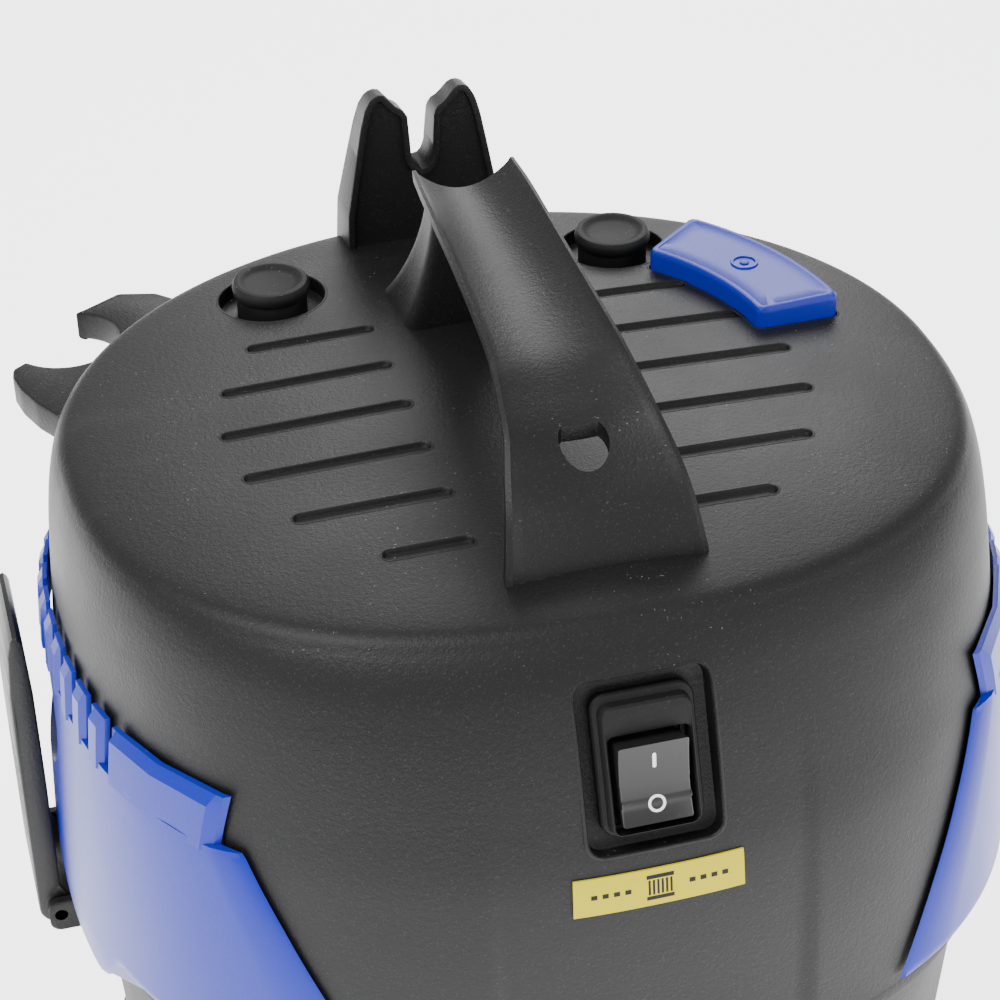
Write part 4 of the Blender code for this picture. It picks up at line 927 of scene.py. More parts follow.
# ---------------------------------------------------------------- head shell
@dataclass
class HeadShell:
    """Black top cover with its grooves, wells, button opening and switch recess."""

    form: HeadForm
    switch: SwitchFrame
    paint: Paint
    columns: int = 512
    wall: float = 0.003
    groove_count: int = 6
    groove_first: float = 0.0487
    groove_pitch: float = 0.028
    groove_radius: float = 0.003
    groove_inner: float = 0.036
    groove_circle: float = 0.1034
    well_radius: float = 0.020
    recess: tuple[float, float] = (0.0225, 0.0290)

    def shell(self) -> bpy.types.Object:
        """Cover: rings of the form from a small crown ring to the seam, then back inside.

        Returns:
            The closed shell.
        """
        a = turn(self.columns)
        drop, sizes = self.form.sizes(np.linspace(0.05, 10.0, 120))
        deck = []
        for share in (0.02, 0.35, 0.7):
            x, y = self.form.plan(a, sizes[0] * share)
            deck.append(np.stack([x, y, np.full(a.shape, self.form.crown - drop[0] * share)], -1))
        rows = self.form.wall(a[None, :], drop[:, None])
        outer = np.concatenate([np.stack(deck), rows])
        within = self.form.wall(a[None, :], drop[::4, None], -self.wall)
        within[..., 2] = np.maximum(within[..., 2] - self.wall, self.form.crown - self.form.height)
        within = within[::-1]
        within[0, :, 2] = self.form.crown - self.form.height
        core = np.stack(deck[:1]) - (0.0, 0.0, self.wall)
        return net("top_cover_skin", np.concatenate([outer, within, core]))

    def on_top(self, points: Array) -> Array:
        """Place outline points and depths on the top surface.

        Args:
            points: rows of X, Y and height over the surface.

        Returns:
            Points with X, Y, Z last.
        """
        z = self.form.top(points[..., 0], points[..., 1]) + points[..., 2]
        return np.stack([points[..., 0], points[..., 1], z], axis=-1)

    def pocket(self, name: str, outline: Callable[[float], Array], profile: tuple,
               lift: Callable[[Array], Array], floor: bool = True) -> bpy.types.Object:
        """Open tray: a lip that stands a hair proud, rounded over into walls and a floor.

        Args:
            name: the tray's name.
            outline: gives the outline at a distance inside its edge.
            profile: rows of distance inside the edge and height.
            lift: places outline points with a height.
            floor: close the last row.

        Returns:
            The tray.
        """
        return open_tray(name, lift(stacked(outline, profile)), (0.0, -0.3, 1.0), floor)

    def stadium(self, inner: float, outer: float, y: float,
                radius: float) -> Callable[[float], Array]:
        """Outline of one groove: two half circles joined by straights.

        Args:
            inner: end nearer the middle.
            outer: end nearer the side.
            y: place along.
            radius: half its width.

        Returns:
            A function of the distance inside the edge.
        """
        a = turn(48) + pi / 48

        def outline(inset: float) -> Array:
            r = max(radius - inset, 0.0002)
            low, high = sorted((inner, outer))
            shift = np.where(np.cos(a) > 0, high - radius, low + radius)
            return around(np.stack([shift + r * np.cos(a), y + r * np.sin(a)], axis=1), 88)

        return outline

    def circle(self, x: float, y: float, radius: float) -> Callable[[float], Array]:
        """Round outline.

        Args:
            x: centre across.
            y: centre along.
            radius: its radius.

        Returns:
            A function of the distance inside the edge.
        """
        a = turn(96)
        return lambda inset: np.stack([x + (radius - inset) * np.cos(a),
                                       y + (radius - inset) * np.sin(a)], axis=1)

    def build(self, button_outline: Callable[[float], Array]) -> None:
        """Make the cover, cut its openings and line them.

        Args:
            button_outline: outline of the button's opening.
        """
        cover = self.shell()
        trays: list[bpy.types.Object] = []
        tools: list[bpy.types.Object] = []
        groove = ((-0.9 * MM, -0.10 * MM), (-0.55 * MM, 0.10 * MM), (-0.1 * MM, 0.10 * MM),
                  (0.25 * MM, -0.15 * MM), (0.55 * MM, -0.9 * MM), (0.9 * MM, -1.5 * MM),
                  (1.6 * MM, -1.8 * MM), (2.7 * MM, -1.8 * MM))
        for i in range(self.groove_count):
            y = self.groove_first - i * self.groove_pitch
            reach = (self.groove_circle ** 2 - (y + 0.0125) ** 2) ** 0.5
            for side in (-1, 1):
                outline = self.stadium(side * self.groove_inner, side * reach, y,
                                       self.groove_radius)
                trays.append(self.pocket(f"groove_{i}_{side}", outline, groove, self.on_top))
                tools.append(prism(f"groove_tool_{i}_{side}", outline(-0.1 * MM), self.on_top,
                                   (-0.008, 0.004)))
        well = ((-1.0 * MM, -0.12 * MM), (-0.6 * MM, 0.14 * MM), (-0.1 * MM, 0.14 * MM),
                (0.2 * MM, -0.2 * MM), (0.35 * MM, -5.6 * MM), (1.2 * MM, -6.0 * MM),
                (18.0 * MM, -6.0 * MM))
        for side in (-1, 1):
            outline = self.circle(side * CAP_PLACE[0], CAP_PLACE[1], self.well_radius)
            trays.append(self.pocket(f"well_{side}", outline, well, self.on_top))
            tools.append(prism(f"well_tool_{side}", outline(-0.1 * MM), self.on_top,
                               (-0.012, 0.004)))
        opening = ((-1.0 * MM, -0.12 * MM), (-0.6 * MM, 0.12 * MM), (-0.1 * MM, 0.12 * MM),
                   (0.15 * MM, -0.2 * MM), (0.15 * MM, -9.0 * MM))
        trays.append(self.pocket("button_opening", button_outline, opening, self.on_top, False))
        tools.append(prism("button_tool", button_outline(-0.1 * MM), self.on_top,
                           (-0.014, 0.004)))
        trays.append(self.recess_tray())
        outline = rounded_box(self.recess[0] + 0.1 * MM, self.recess[1] + 0.1 * MM, 0.0055)
        tools.append(prism("recess_tool", outline, self.switch.lift, (-0.016, 0.03)))
        cut(cover, *tools)
        join(cover, *trays)
        settle(cover)
        self.paint.dress(cover, Body.HEAD, "cover_black", "top_cover")
        LOG.info("head shell: %d faces", len(cover.data.polygons))

    def recess_tray(self) -> bpy.types.Object:
        """Switch recess whose lip follows the wall; its floor is square to the switch.

        Returns:
            The tray.
        """
        half_w, half_h = self.recess
        floor = -RECESS_DEPTH

        def outline(inset: float) -> Array:
            return rounded_box(half_w - inset, half_h - inset, max(0.0055 - inset, 0.002))

        lip = []
        for inset, height in ((-1.1 * MM, -0.15 * MM), (-0.6 * MM, 0.2 * MM),
                              (-0.1 * MM, 0.2 * MM), (0.3 * MM, -0.3 * MM)):
            edge = outline(inset)
            lip.append(np.column_stack([edge, self.switch.skin(edge) + height]))
        well = stacked(outline, ((0.6 * MM, floor + 1.2 * MM), (1.0 * MM, floor + 0.3 * MM),
                                 (2.0 * MM, floor), (9.0 * MM, floor)))
        rows = np.concatenate([np.stack(lip), well])
        return open_tray("switch_recess", self.switch.lift(rows), (0.0, -1.0, 0.0))


@dataclass
class Carrier:
    """Carry handle, the fork behind it and the tube clip."""

    form: HeadForm
    paint: Paint
    foot: float = -0.1175
    hole_run: float = 0.0255
    fork_span: tuple[float, float] = (0.1150, 0.1370)
    fork_height: float = 0.059
    fork_lean: float = 0.0100
    fork_fall: float = 0.0022
    fork_half: tuple = (
        (0.0310, -0.030), (0.0300, 0.010), (0.0264, 0.030), (0.0234, 0.046), (0.0214, 0.0535),
        (0.0190, 0.0578), (0.0164, 0.0592), (0.0138, 0.0588), (0.0120, 0.0566),
        (0.0094, 0.0534), (0.0068, 0.0518), (0.0052, 0.0492), (0.0046, 0.040),
        (0.0042, 0.0322), (0.0030, 0.0286), (0.0014, 0.0268), (0.0, 0.0264))
    clip_middle: tuple[float, float] = (-0.1425, 0.1070)
    clip_radius: float = 0.0203
    clip_drop: float = 0.025
    clip_back: tuple = (
        (-0.1606, 0.0936), (-0.1642, 0.0908), (-0.1650, 0.0850), (-0.1634, 0.0760),
        (-0.1590, 0.0640), (-0.1500, 0.0480), (-0.1300, 0.0440), (-0.0960, 0.0900),
        (-0.0900, 0.1180), (-0.1040, 0.1330), (-0.1180, 0.1370))
    thickness: float = 0.005
    path: tuple = (
        (-0.002, -0.010, 0.0345, 0.0020), (0.0000, -0.0011, 0.0334, 0.0022),
        (0.0075, 0.0154, 0.0308, 0.0030), (0.0160, 0.0253, 0.0286, 0.0038),
        (0.0262, 0.0341, 0.0259, 0.0045), (0.0410, 0.0411, 0.0240, 0.0052),
        (0.0580, 0.0472, 0.0222, 0.0060), (0.0855, 0.0510, 0.0210, 0.0068),
        (0.1140, 0.0540, 0.0202, 0.0078), (0.1325, 0.0557, 0.0199, 0.0085),
        (0.1525, 0.0574, 0.0195, 0.0093), (0.1705, 0.0583, 0.0186, 0.0100))

    def strap(self) -> bpy.types.Object:
        """Dished strap: a parabola across, sunk between two beaded edges, along a fair path.

        Returns:
            The strap.
        """
        table = np.array(self.path)
        knots = np.arange(len(table))
        t = np.linspace(0.0, len(table) - 1.0, 110)
        run, rise, half, dish = (fair(knots, table[:, k], t) for k in range(4))
        spine = np.stack([run, rise], axis=1)
        along = np.gradient(spine, axis=0)
        along /= np.linalg.norm(along, axis=1)[:, None]
        out = np.stack([-along[:, 1], along[:, 0]], axis=1)
        s = np.linspace(-1.0, 1.0, 33)
        bead = 0.0009 * soft_step(0.90, 0.955, np.abs(s)) * (1 - soft_step(0.985, 1.0, np.abs(s)))
        over = -dish[:, None] * (1 - s ** 2) + bead
        corner = -0.0006 * soft_step(0.985, 1.0, np.abs(s))
        over = over + corner
        under = -dish[:, None] * (1 - s ** 2) - self.thickness
        shares = np.concatenate([s, s[::-1] * 0.985])
        lifts = np.concatenate([over, under[:, ::-1]], axis=1)
        x = half[:, None] * shares
        y = self.foot + run[:, None] + out[:, :1] * lifts
        z = self.form.crown + rise[:, None] + out[:, 1:] * lifts
        return net("carry_handle_strap", np.stack([x, y, z], axis=-1))

    def post(self) -> bpy.types.Object:
        """Concave rear post: a boxy ring pinched at its sides, flaring to a low fillet.

        Returns:
            The post.
        """
        h = np.linspace(0.0, 1.0, 40)
        flare = (1.0 - h) ** 1.7 + 0.10 * np.exp(-h / 0.035)
        half = 0.0160 + (0.0310 - 0.0160) * flare
        front = 0.0365 + (0.0405 - 0.0365) * flare
        rear = 0.0525 + (0.0850 - 0.0525) * flare
        a = turn(64)
        u = np.sign(np.cos(a)) * np.abs(np.cos(a)) ** 0.42
        v = np.sign(np.sin(a)) * np.abs(np.sin(a)) ** 0.42
        pinch = 1.0 - 0.17 * (1.0 - v ** 2) * (0.35 + 0.65 * (1.0 - h[:, None]))
        x = half[:, None] * u * pinch
        middle = (front + rear) / 2
        y = middle[:, None] + (rear - front)[:, None] / 2 * v * (1 - 0.10 * (1 - u ** 2))
        z = self.form.crown - 0.006 + h[:, None] * 0.0585 + 0.0 * x
        dip = 0.0095 * (1.0 - (x / 0.0186) ** 2) * h[:, None] ** 6
        return net("carry_handle_post", np.stack([x, y, z - dip], axis=-1))

    def hole(self) -> bpy.types.Object:
        """Cutter for the D-shaped hole near the front of the strap.

        Returns:
            The cutter.
        """
        a = turn(64)
        x = 0.0082 * np.cos(a)
        y = self.foot + self.hole_run + np.minimum(0.0078 * np.sin(a), 0.0052)
        return prism("handle_hole", np.stack([x, y], axis=1), lambda points: points,
                     (self.form.crown + 0.012, self.form.crown + 0.08))

    def leaning_plate(self, name: str, outline: Array, rim: float,
                      sink: float) -> bpy.types.Object:
        """Plate across the machine whose front face is sunk inside a raised rim.

        Its back face leans forward: depth and fall are shares of the rise over the crown.

        Args:
            name: the object's name.
            outline: rows of X and Z.
            rim: width of the rim.
            sink: depth of the sunk face.

        Returns:
            The plate.
        """
        front, rear = self.fork_span
        normals = inward(outline)
        rows = []
        for inset, y in ((0.8 * MM, rear), (0.0, rear - 0.8 * MM), (0.0, front + 0.8 * MM),
                         (0.25 * MM, front + 0.25 * MM), (0.8 * MM, front), (rim, front),
                         (rim + 0.35 * MM, front + sink)):
            edge = outline + normals * inset
            rise = np.clip((edge[:, 1] - self.form.crown) / self.fork_height, -0.5, 1.0)
            back = (y - front) / (rear - front)
            rows.append(np.column_stack([edge[:, 0], y - self.fork_lean * rise * back,
                                         edge[:, 1] - self.fork_fall * rise * back]))
        return net(name, np.stack(rows))

    def fork(self) -> bpy.types.Object:
        """Two-eared fork: a fair outline with a deep notch.

        Returns:
            The fork.
        """
        right = np.array(self.fork_half)
        left = right[:-1][::-1] * (-1.0, 1.0)
        outline = around(np.vstack([right, left]), 150)
        outline[:, 1] += self.form.crown
        return self.leaning_plate("rear_fork_plate", outline, 2.4 * MM, 2.2 * MM)

    def clip(self) -> bpy.types.Object:
        """C-shaped tube clip with two horns.

        Returns:
            The clip.
        """
        mouth = radians(144.0)
        gape = radians(73.0)
        a = np.linspace(mouth - gape, mouth - 2.0 * pi + gape, 40)
        hollow = self.clip_middle + self.clip_radius * np.stack([np.cos(a), np.sin(a)], axis=1)
        outline = around(np.vstack([hollow, self.clip_back]), 160)
        middle = self.form.crown - self.clip_drop
        normals = inward(outline)
        profile = ((1.6 * MM, -6.0 * MM), (0.5 * MM, -5.4 * MM), (0.0, -4.2 * MM),
                   (0.0, 5.0 * MM), (0.3 * MM, 5.7 * MM), (1.0 * MM, 6.0 * MM))
        rows = stacked(lambda inset: outline + normals * inset, profile)
        rows[..., 2] += middle
        return net("tube_clip_hook", rows)

    def build(self) -> None:
        """Make and dress the three pieces."""
        strap = cut(self.strap(), self.hole())
        handle = join(strap, self.post())
        settle(handle)
        self.paint.dress(handle, Body.HEAD, "cover_black", "carry_handle")
        self.paint.dress(self.fork(), Body.HEAD, "cover_black", "rear_fork")
        self.paint.dress(self.clip(), Body.HEAD, "cover_black", "tube_clip")
        LOG.info("carrier: handle, fork and clip")


@dataclass
class TopFittings:
    """Rubber caps and the filter-cleaning button."""

    form: HeadForm
    paint: Paint
    cap_radius: float = 0.0145
    inner: float = 0.097
    outer: float = 0.1295
    start: float = 4.5
    end: float = 41.0
    proud: float = 0.0085

    def sector(self, grow: float) -> Callable[[float], Array]:
        """Sector outline: a rounded box in angle and radius.

        Args:
            grow: how far it is grown all round.

        Returns:
            A function of the distance inside the edge.
        """
        middle = radians((self.start + self.end) / 2.0)
        reach = (self.inner + self.outer) / 2.0
        half_run = radians(self.end - self.start) / 2.0 * reach
        half_rise = (self.outer - self.inner) / 2.0

        def outline(inset: float) -> Array:
            box = rounded_box(half_run + grow - inset, half_rise + grow - inset,
                              max(0.0030 + grow - inset, 0.0008), 120)
            angle = middle - box[:, 0] / reach
            return np.stack([(reach + box[:, 1]) * np.cos(angle),
                             (reach + box[:, 1]) * np.sin(angle)], axis=1)

        return outline

    def button(self) -> bpy.types.Object:
        """Flat-topped block with a rounded rim and a raised ring sign.

        Returns:
            The button.
        """
        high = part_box("filter_button")[1].z
        profile = ((0.4 * MM, high - 0.0184), (0.0, high - 0.0180), (0.0, high - 0.0022),
                   (0.25 * MM, high - 0.0011), (0.8 * MM, high - 0.0003), (1.6 * MM, high),
                   (2.6 * MM, high), (3.1 * MM, high - 0.0003), (9.0 * MM, high - 0.0004))
        return net("filter_button_block", stacked(self.sector(0.0), profile))

    def sign(self) -> bpy.types.Object:
        """Raised ring with a dot: a small torus and a low dome on the button.

        Returns:
            The sign.
        """
        middle = radians((self.start + self.end) / 2.0)
        reach = (self.inner + self.outer) / 2.0
        x, y = reach * cos(middle), reach * sin(middle)
        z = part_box("filter_button")[1].z - 0.0005
        ring = turned("sign_ring", [(0.0040, 0.0), (0.0052, 0.0), (0.0052, 0.0005),
                                    (0.0050, 0.0007), (0.0042, 0.0007), (0.0040, 0.0005),
                                    (0.0040, 0.0)], (x, y, z), steps=48)
        dot = turned("sign_dot", [(0.0, 0.0), (0.0018, 0.0), (0.0018, 0.0005),
                                  (0.0012, 0.0007), (0.0, 0.0007)], (x, y, z), steps=32)
        return join(ring, dot)

    def build(self) -> None:
        """Make and dress the caps and the button."""
        for side, title in ((-1, "left"), (1, "right")):
            low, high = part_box(f"rubber_cap_{title}")
            r = self.cap_radius
            tall = high.z - low.z
            profile = [(0.0, tall - 0.0016), (r - 0.0060, tall - 0.0015),
                       (r - 0.0042, tall - 0.0010), (r - 0.0032, tall - 0.0002),
                       (r - 0.0022, tall), (r - 0.0010, tall - 0.0003), (r - 0.0002, tall - 0.0014),
                       (r, tall - 0.0028), (r - 0.0003, tall - 0.0045), (r - 0.0014, tall - 0.0060),
                       (r - 0.0014, 0.0), (0.0, 0.0)]
            cap = turned(f"rubber_cap_{title}_disc", profile,
                         (side * CAP_PLACE[0], CAP_PLACE[1], low.z))
            self.paint.dress(cap, Body.HEAD, "rubber_black", f"rubber_cap_{title}")
        self.paint.dress(self.button(), Body.BUTTON, "button_blue", "filter_button")
        self.paint.dress(self.sign(), Body.BUTTON, "button_blue")
        LOG.info("caps and button")


@dataclass
class PowerSwitch:
    """Rubber boot, rocker with its on and off signs, and the filter label."""

    form: HeadForm
    switch: SwitchFrame
    paint: Paint
    floor: float = -RECESS_DEPTH
    boot: tuple[float, float] = (0.0170, 0.0235)
    rocker: tuple[float, float] = (0.0115, 0.0135)
    rocker_shift: float = -0.0055
    label_angle: float = 9.4
    label_top: float = 0.0820
    label_height: float = 0.0135

    def make_boot(self) -> bpy.types.Object:
        """Stepped boot: rounded boxes from its foot over a step to the mouth.

        Returns:
            The boot, closed as a ring.
        """
        w, h = self.boot
        rows = []
        for dx, dy, shift, corner, z in (
                (0.0, 0.0, 0.0, 5.0, 0.3), (0.0, 0.0, 0.0, 5.0, 3.2), (0.5, 0.5, 0.0, 4.6, 3.9),
                (1.3, 1.2, 0.0, 4.2, 4.1), (1.8, 1.9, -0.6, 3.6, 4.4),
                (2.1, 2.3, -0.9, 3.4, 7.6), (2.5, 2.8, -1.2, 3.0, 8.4),
                (2.9, 3.6, -1.8, 2.6, 8.5), (3.1, 6.6, -4.9, 2.2, 8.3),
                (3.4, 7.2, -5.5, 2.0, 7.8), (3.4, 7.2, -5.5, 2.0, 0.3),
                (0.0, 0.0, 0.0, 5.0, 0.3)):
            edge = rounded_box(w - dx * MM, h - dy * MM, corner * MM)
            edge[:, 1] += shift * MM
            rows.append(np.column_stack([edge, np.full(len(edge), self.floor + z * MM)]))
        return hoop("switch_boot_rubber", self.switch.lift(np.stack(rows)))

    def rocker_top(self, up: Array) -> Array:
        """Height of the rocker's face: a valley between its raised on end and sunk off end.

        Args:
            up: place along its slope.

        Returns:
            The height over the recess floor.
        """
        return 0.0092 + 0.0015 * up / self.rocker[1] + 0.0016 * (up / self.rocker[1]) ** 2 + 0.0005

    def make_rocker(self) -> bpy.types.Object:
        """Rocker: its side outline carried across, drawn in at both ends.

        Returns:
            The rocker.
        """
        w, h = self.rocker
        up = np.linspace(-h, h, 40)
        top = np.stack([up, self.rocker_top(up)], axis=1)
        low = np.array([(h, 0.0022), (0.004, -0.0015), (-0.004, -0.0015), (-h, 0.0022)])
        outline = np.vstack([top, low])
        rows = []
        for x, inset in ((-w, 0.0005), (-w + 0.0003, 0.00015), (-w + 0.0007, 0.0),
                         (w - 0.0007, 0.0), (w - 0.0003, 0.00015), (w, 0.0005)):
            edge = outline - np.sign(outline - outline.mean(axis=0)) * inset
            rows.append(np.column_stack([np.full(len(edge), x), edge[:, 0] + self.rocker_shift,
                                         self.floor + edge[:, 1]]))
        return net("rocker_key", self.switch.lift(np.stack(rows)), crease=40.0)

    def signs(self) -> bpy.types.Object:
        """White bar and ring of the on and off signs, laid on the rocker's face.

        Returns:
            Both signs as one piece.
        """
        rise = 0.00018
        a = turn(48)
        bar = rounded_box(0.0006, 0.0026, 0.00055, 32) + (0.0, 0.0076)
        shift = (0.0, self.rocker_shift, 0.0)
        rows = []
        for z in (0.0, rise):
            rows.append(np.column_stack([bar, self.floor + self.rocker_top(bar[:, 1]) + z]))
        stroke = net("on_sign", self.switch.lift(np.stack(rows) + shift))
        loops = []
        for radius, z in ((0.0020, 0.0), (0.0029, 0.0), (0.0029, rise), (0.0020, rise),
                          (0.0020, 0.0)):
            ring = np.stack([radius * np.cos(a), -0.0072 + radius * np.sin(a)], axis=1)
            loops.append(np.column_stack([ring, self.floor + self.rocker_top(ring[:, 1]) + z]))
        return join(stroke, hoop("off_sign", self.switch.lift(np.stack(loops) + shift)))

    def on_label(self, across: Array, down: Array, out: Array | float) -> Array:
        """Points over the label.

        Args:
            across: place from its left end to its right, -1 to 1.
            down: place from its top to its foot, 0 to 1.
            out: distance off the wall.

        Returns:
            Points with X, Y, Z last.
        """
        angle = radians(self.label_angle) * across
        drop = self.label_top + self.label_height * down
        return self.form.wall(angle, drop, np.broadcast_to(out, np.shape(angle + drop)) * 1.0)

    def label(self) -> bpy.types.Object:
        """Thin curved film.

        Returns:
            The label.
        """
        across, down = np.meshgrid(np.linspace(-1.0, 1.0, 40), np.linspace(0.0, 1.0, 10))
        sheets = [self.on_label(across, down, out) for out in (0.0002, 0.0008)]
        return slab("filter_label", sheets[0], sheets[1])

    def print_bar(self, name: str, left: float, right: float, top: float,
                  foot: float) -> bpy.types.Object:
        """One dark printed bar on the label.

        Args:
            name: its name.
            left: left end, -1 to 1.
            right: right end.
            top: upper edge, 0 to 1.
            foot: lower edge.

        Returns:
            The bar.
        """
        across, down = np.meshgrid(np.linspace(left, right, 6), np.linspace(top, foot, 4))
        sheets = [self.on_label(across, down, out) for out in (0.0007, 0.00088)]
        return slab(name, sheets[0], sheets[1])

    def pictogram(self) -> bpy.types.Object:
        """Pleated cartridge drawn in bars, with a row of short bars on either side.

        Returns:
            The print as one piece.
        """
        bars = [self.print_bar("print_top", -0.16, 0.16, 0.16, 0.26),
                self.print_bar("print_foot", -0.16, 0.16, 0.74, 0.84)]
        for i, left in enumerate(np.linspace(-0.14, 0.115, 6)):
            bars.append(self.print_bar(f"print_pleat_{i}", left, left + 0.025, 0.30, 0.70))
        for side in (-1, 1):
            for i in range(4):
                near = side * (0.34 + 0.13 * i)
                far = near + side * 0.07
                bars.append(self.print_bar(f"print_flow_{side}_{i}", min(near, far),
                                           max(near, far), 0.44, 0.56))
        return join(bars[0], *bars[1:])

    def build(self) -> None:
        """Make and dress the switch and the label."""
        self.paint.dress(self.make_boot(), Body.HEAD, "rubber_black", "switch_boot")
        self.paint.dress(self.make_rocker(), Body.ROCKER, "rocker_black", "rocker")
        self.paint.dress(self.signs(), Body.ROCKER, "float_white")
        self.paint.dress(self.label(), Body.HEAD, "label_yellow", "label")
        self.paint.dress(self.pictogram(), Body.HEAD, "rubber_black")
        LOG.info("switch and label")


@dataclass
class SideGuards:
    """Blue side panels and the latches that hang in front of them."""

    form: HeadForm
    paint: Paint
    seat: float = 0.0015
    proud: float = 0.0046
    top: float = 0.0605
    teeth_foot: float = 0.0810
    border: float = 0.0050
    front_edge: tuple = ((0.060, 51.0), (0.080, 44.0), (0.103, 39.7), (0.131, 34.9),
                         (0.163, 30.0))
    rear_edge: tuple = ((0.060, 138.0), (0.080, 141.0), (0.103, 143.5), (0.163, 149.0))
    slots: int = 9
    first_slot: float = -0.076
    slot_pitch: float = 0.0145
    slot_width: float = 0.0045

    def edge(self, table: tuple, drop: Array) -> Array:
        """Place along Y of a panel's edge at a drop.

        Args:
            table: rows of drop and angle.
            drop: drop below the crown.

        Returns:
            The place along Y.
        """
        rows = np.array(table)
        angle = np.radians(np.interp(drop, rows[:, 0], rows[:, 1]))
        return self.form.wall(angle, np.minimum(drop, self.form.height), 0.003, False)[..., 1]

    def sheet(self, side: int, y: Array, drop: Array, out: Array) -> Array:
        """Points on the side wall.

        Args:
            side: -1 or 1.
            y: place along.
            drop: drop below the crown.
            out: distance off the wall.

        Returns:
            Points with X, Y, Z last.
        """
        x = side * self.form.side(y, drop, out)
        return np.stack([x, y, self.form.crown - drop], axis=-1)

    def field(self, side: int) -> bpy.types.Object:
        """Panel below its teeth: chamfered borders, a tongue below and a scooped hole.

        Args:
            side: -1 or 1.

        Returns:
            The field.
        """
        s = np.linspace(0.0, 1.0, 96)
        r = np.linspace(0.0, 1.0, 44)[:, None]
        lower = self.form.height - 0.003
        guess = -0.10 + 0.21 * s
        tongue = soft_step(-0.046, -0.030, guess) * (1 - soft_step(0.058, 0.074, guess))
        foot = lower + (0.016 + 0.003) * tongue
        drop = self.teeth_foot - 0.002 + (foot - self.teeth_foot + 0.002) * r
        y_front = self.edge(self.front_edge, drop)
        y_rear = self.edge(self.rear_edge, drop)
        y = y_front + (y_rear - y_front) * s
        gap = np.minimum(np.minimum(y - y_front, y_rear - y), (foot - drop) * 1.6)
        rise = np.clip(gap / self.border, 0.0, 1.0)
        bend = 0.0009 * np.exp(-((y - SCOOP_Y) / 0.060) ** 2)
        out = self.seat + 0.0009 + (self.proud - self.seat - 0.0009) * rise - bend * rise
        outer = self.sheet(side, y, drop, out)
        inner = self.sheet(side, y, drop, np.full(y.shape, self.seat))
        panel = slab(f"panel_field_{side}", inner, outer)
        a = turn(64)
        hole = []
        for x, grow in ((0.150, 1.0), (0.176, 1.0), (0.184, 1.10)):
            hole.append(np.stack([np.full(a.shape, side * x),
                                  SCOOP_Y + 0.0395 * grow * np.cos(a),
                                  self.form.crown - SCOOP_DROP + 0.0280 * grow * np.sin(a)],
                                 axis=-1))
        tool = net(f"scoop_tool_{side}", np.stack(hole))
        return cut(panel, tool)

    def tooth(self, side: int, low: float, high: float, name: str) -> bpy.types.Object:
        """One tooth between two slots, chamfered on its sides and top.

        Args:
            side: -1 or 1.
            low: its front edge along Y.
            high: its rear edge along Y.
            name: its name.

        Returns:
            The tooth.
        """
        wide = min(0.0022, (high - low) / 3.2)
        y = np.array([low, low + 0.0001, low + wide, (low + high) / 2, high - wide,
                      high - 0.0001, high])
        rise_y = np.array([0.0, 0.35, 1.0, 1.0, 1.0, 0.35, 0.0])
        drop = np.array([self.top, self.top + 0.0001, self.top + 0.0040, self.top + 0.012,
                         self.teeth_foot + 0.0005])[:, None]
        rise_z = np.array([0.0, 0.35, 1.0, 1.0, 1.0])[:, None]
        rise = np.minimum(rise_y, rise_z)
        spot = y + 0.0 * drop
        fall = drop + 0.0 * y
        outer = self.sheet(side, spot, fall, self.seat + 0.0006
                           + (self.proud + 0.0004 - self.seat - 0.0006) * rise)
        inner = self.sheet(side, spot, fall, np.full(spot.shape, self.seat))
        return slab(name, inner, outer, crease=18.0)

    def panel(self, title: str, side: int) -> bpy.types.Object:
        """Whole side panel.

        Args:
            title: left or right.
            side: -1 or 1.

        Returns:
            The panel.
        """
        field = self.field(side)
        first = float(self.edge(self.front_edge, np.array(self.top + 0.012)))
        last = float(self.edge(self.rear_edge, np.array(self.top + 0.012)))
        bounds = [first]
        for i in range(self.slots):
            middle = self.first_slot + i * self.slot_pitch
            bounds += [middle - self.slot_width / 2, middle + self.slot_width / 2]
        bounds.append(last)
        teeth = [self.tooth(side, bounds[2 * i], bounds[2 * i + 1], f"tooth_{title}_{i}")
                 for i in range(self.slots + 1)]
        return join(field, *teeth)

    def latch(self, title: str, side: int) -> bpy.types.Object:
        """Latch: its side outline carried along Y, drawn in at both ends, with finger bars.

        Args:
            title: left or right.
            side: -1 or 1.

        Returns:
            The latch.
        """
        low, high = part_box(f"latch_{title}")
        pin_x = 0.1795
        pin_z = low.z + PIN_RISE
        tall = high.z - pin_z
        a = np.linspace(0.0, -pi, 14)
        round_foot = PIN_RISE * np.stack([np.cos(a), np.sin(a)], axis=1)
        rest = np.array([(-0.0016, 0.010), (-0.0016, 0.046), (-0.0018, 0.058),
                         (-0.0018, 0.100), (-0.0008, tall - 0.003), (0.0004, tall - 0.0006),
                         (0.0016, tall), (0.0034, tall - 0.0016), (0.0052, tall - 0.008),
                         (0.0066, 0.098), (0.0071, 0.078), (0.0073, 0.055), (0.0075, 0.012)])
        outline = around(np.vstack([round_foot, rest]), 140)
        middle = outline.mean(axis=0)
        half = (high.y - low.y) / 2
        centre = (high.y + low.y) / 2
        rows = []
        for y, inset in ((-half, 1.0 * MM), (-half + 0.3 * MM, 0.4 * MM), (-half + 1.0 * MM, 0.0),
                         (half - 1.0 * MM, 0.0), (half - 0.3 * MM, 0.4 * MM), (half, 1.0 * MM)):
            pull = np.clip((outline - middle) / 0.004, -1.0, 1.0) * inset
            edge = outline - pull
            narrow = 1.0 - 0.10 * soft_step(0.085, tall, edge[:, 1])
            rows.append(np.column_stack([side * (pin_x + edge[:, 0]), centre + y * narrow,
                                         pin_z + edge[:, 1]]))
        latch = net(f"latch_{title}_lever", np.stack(rows))
        tools = []
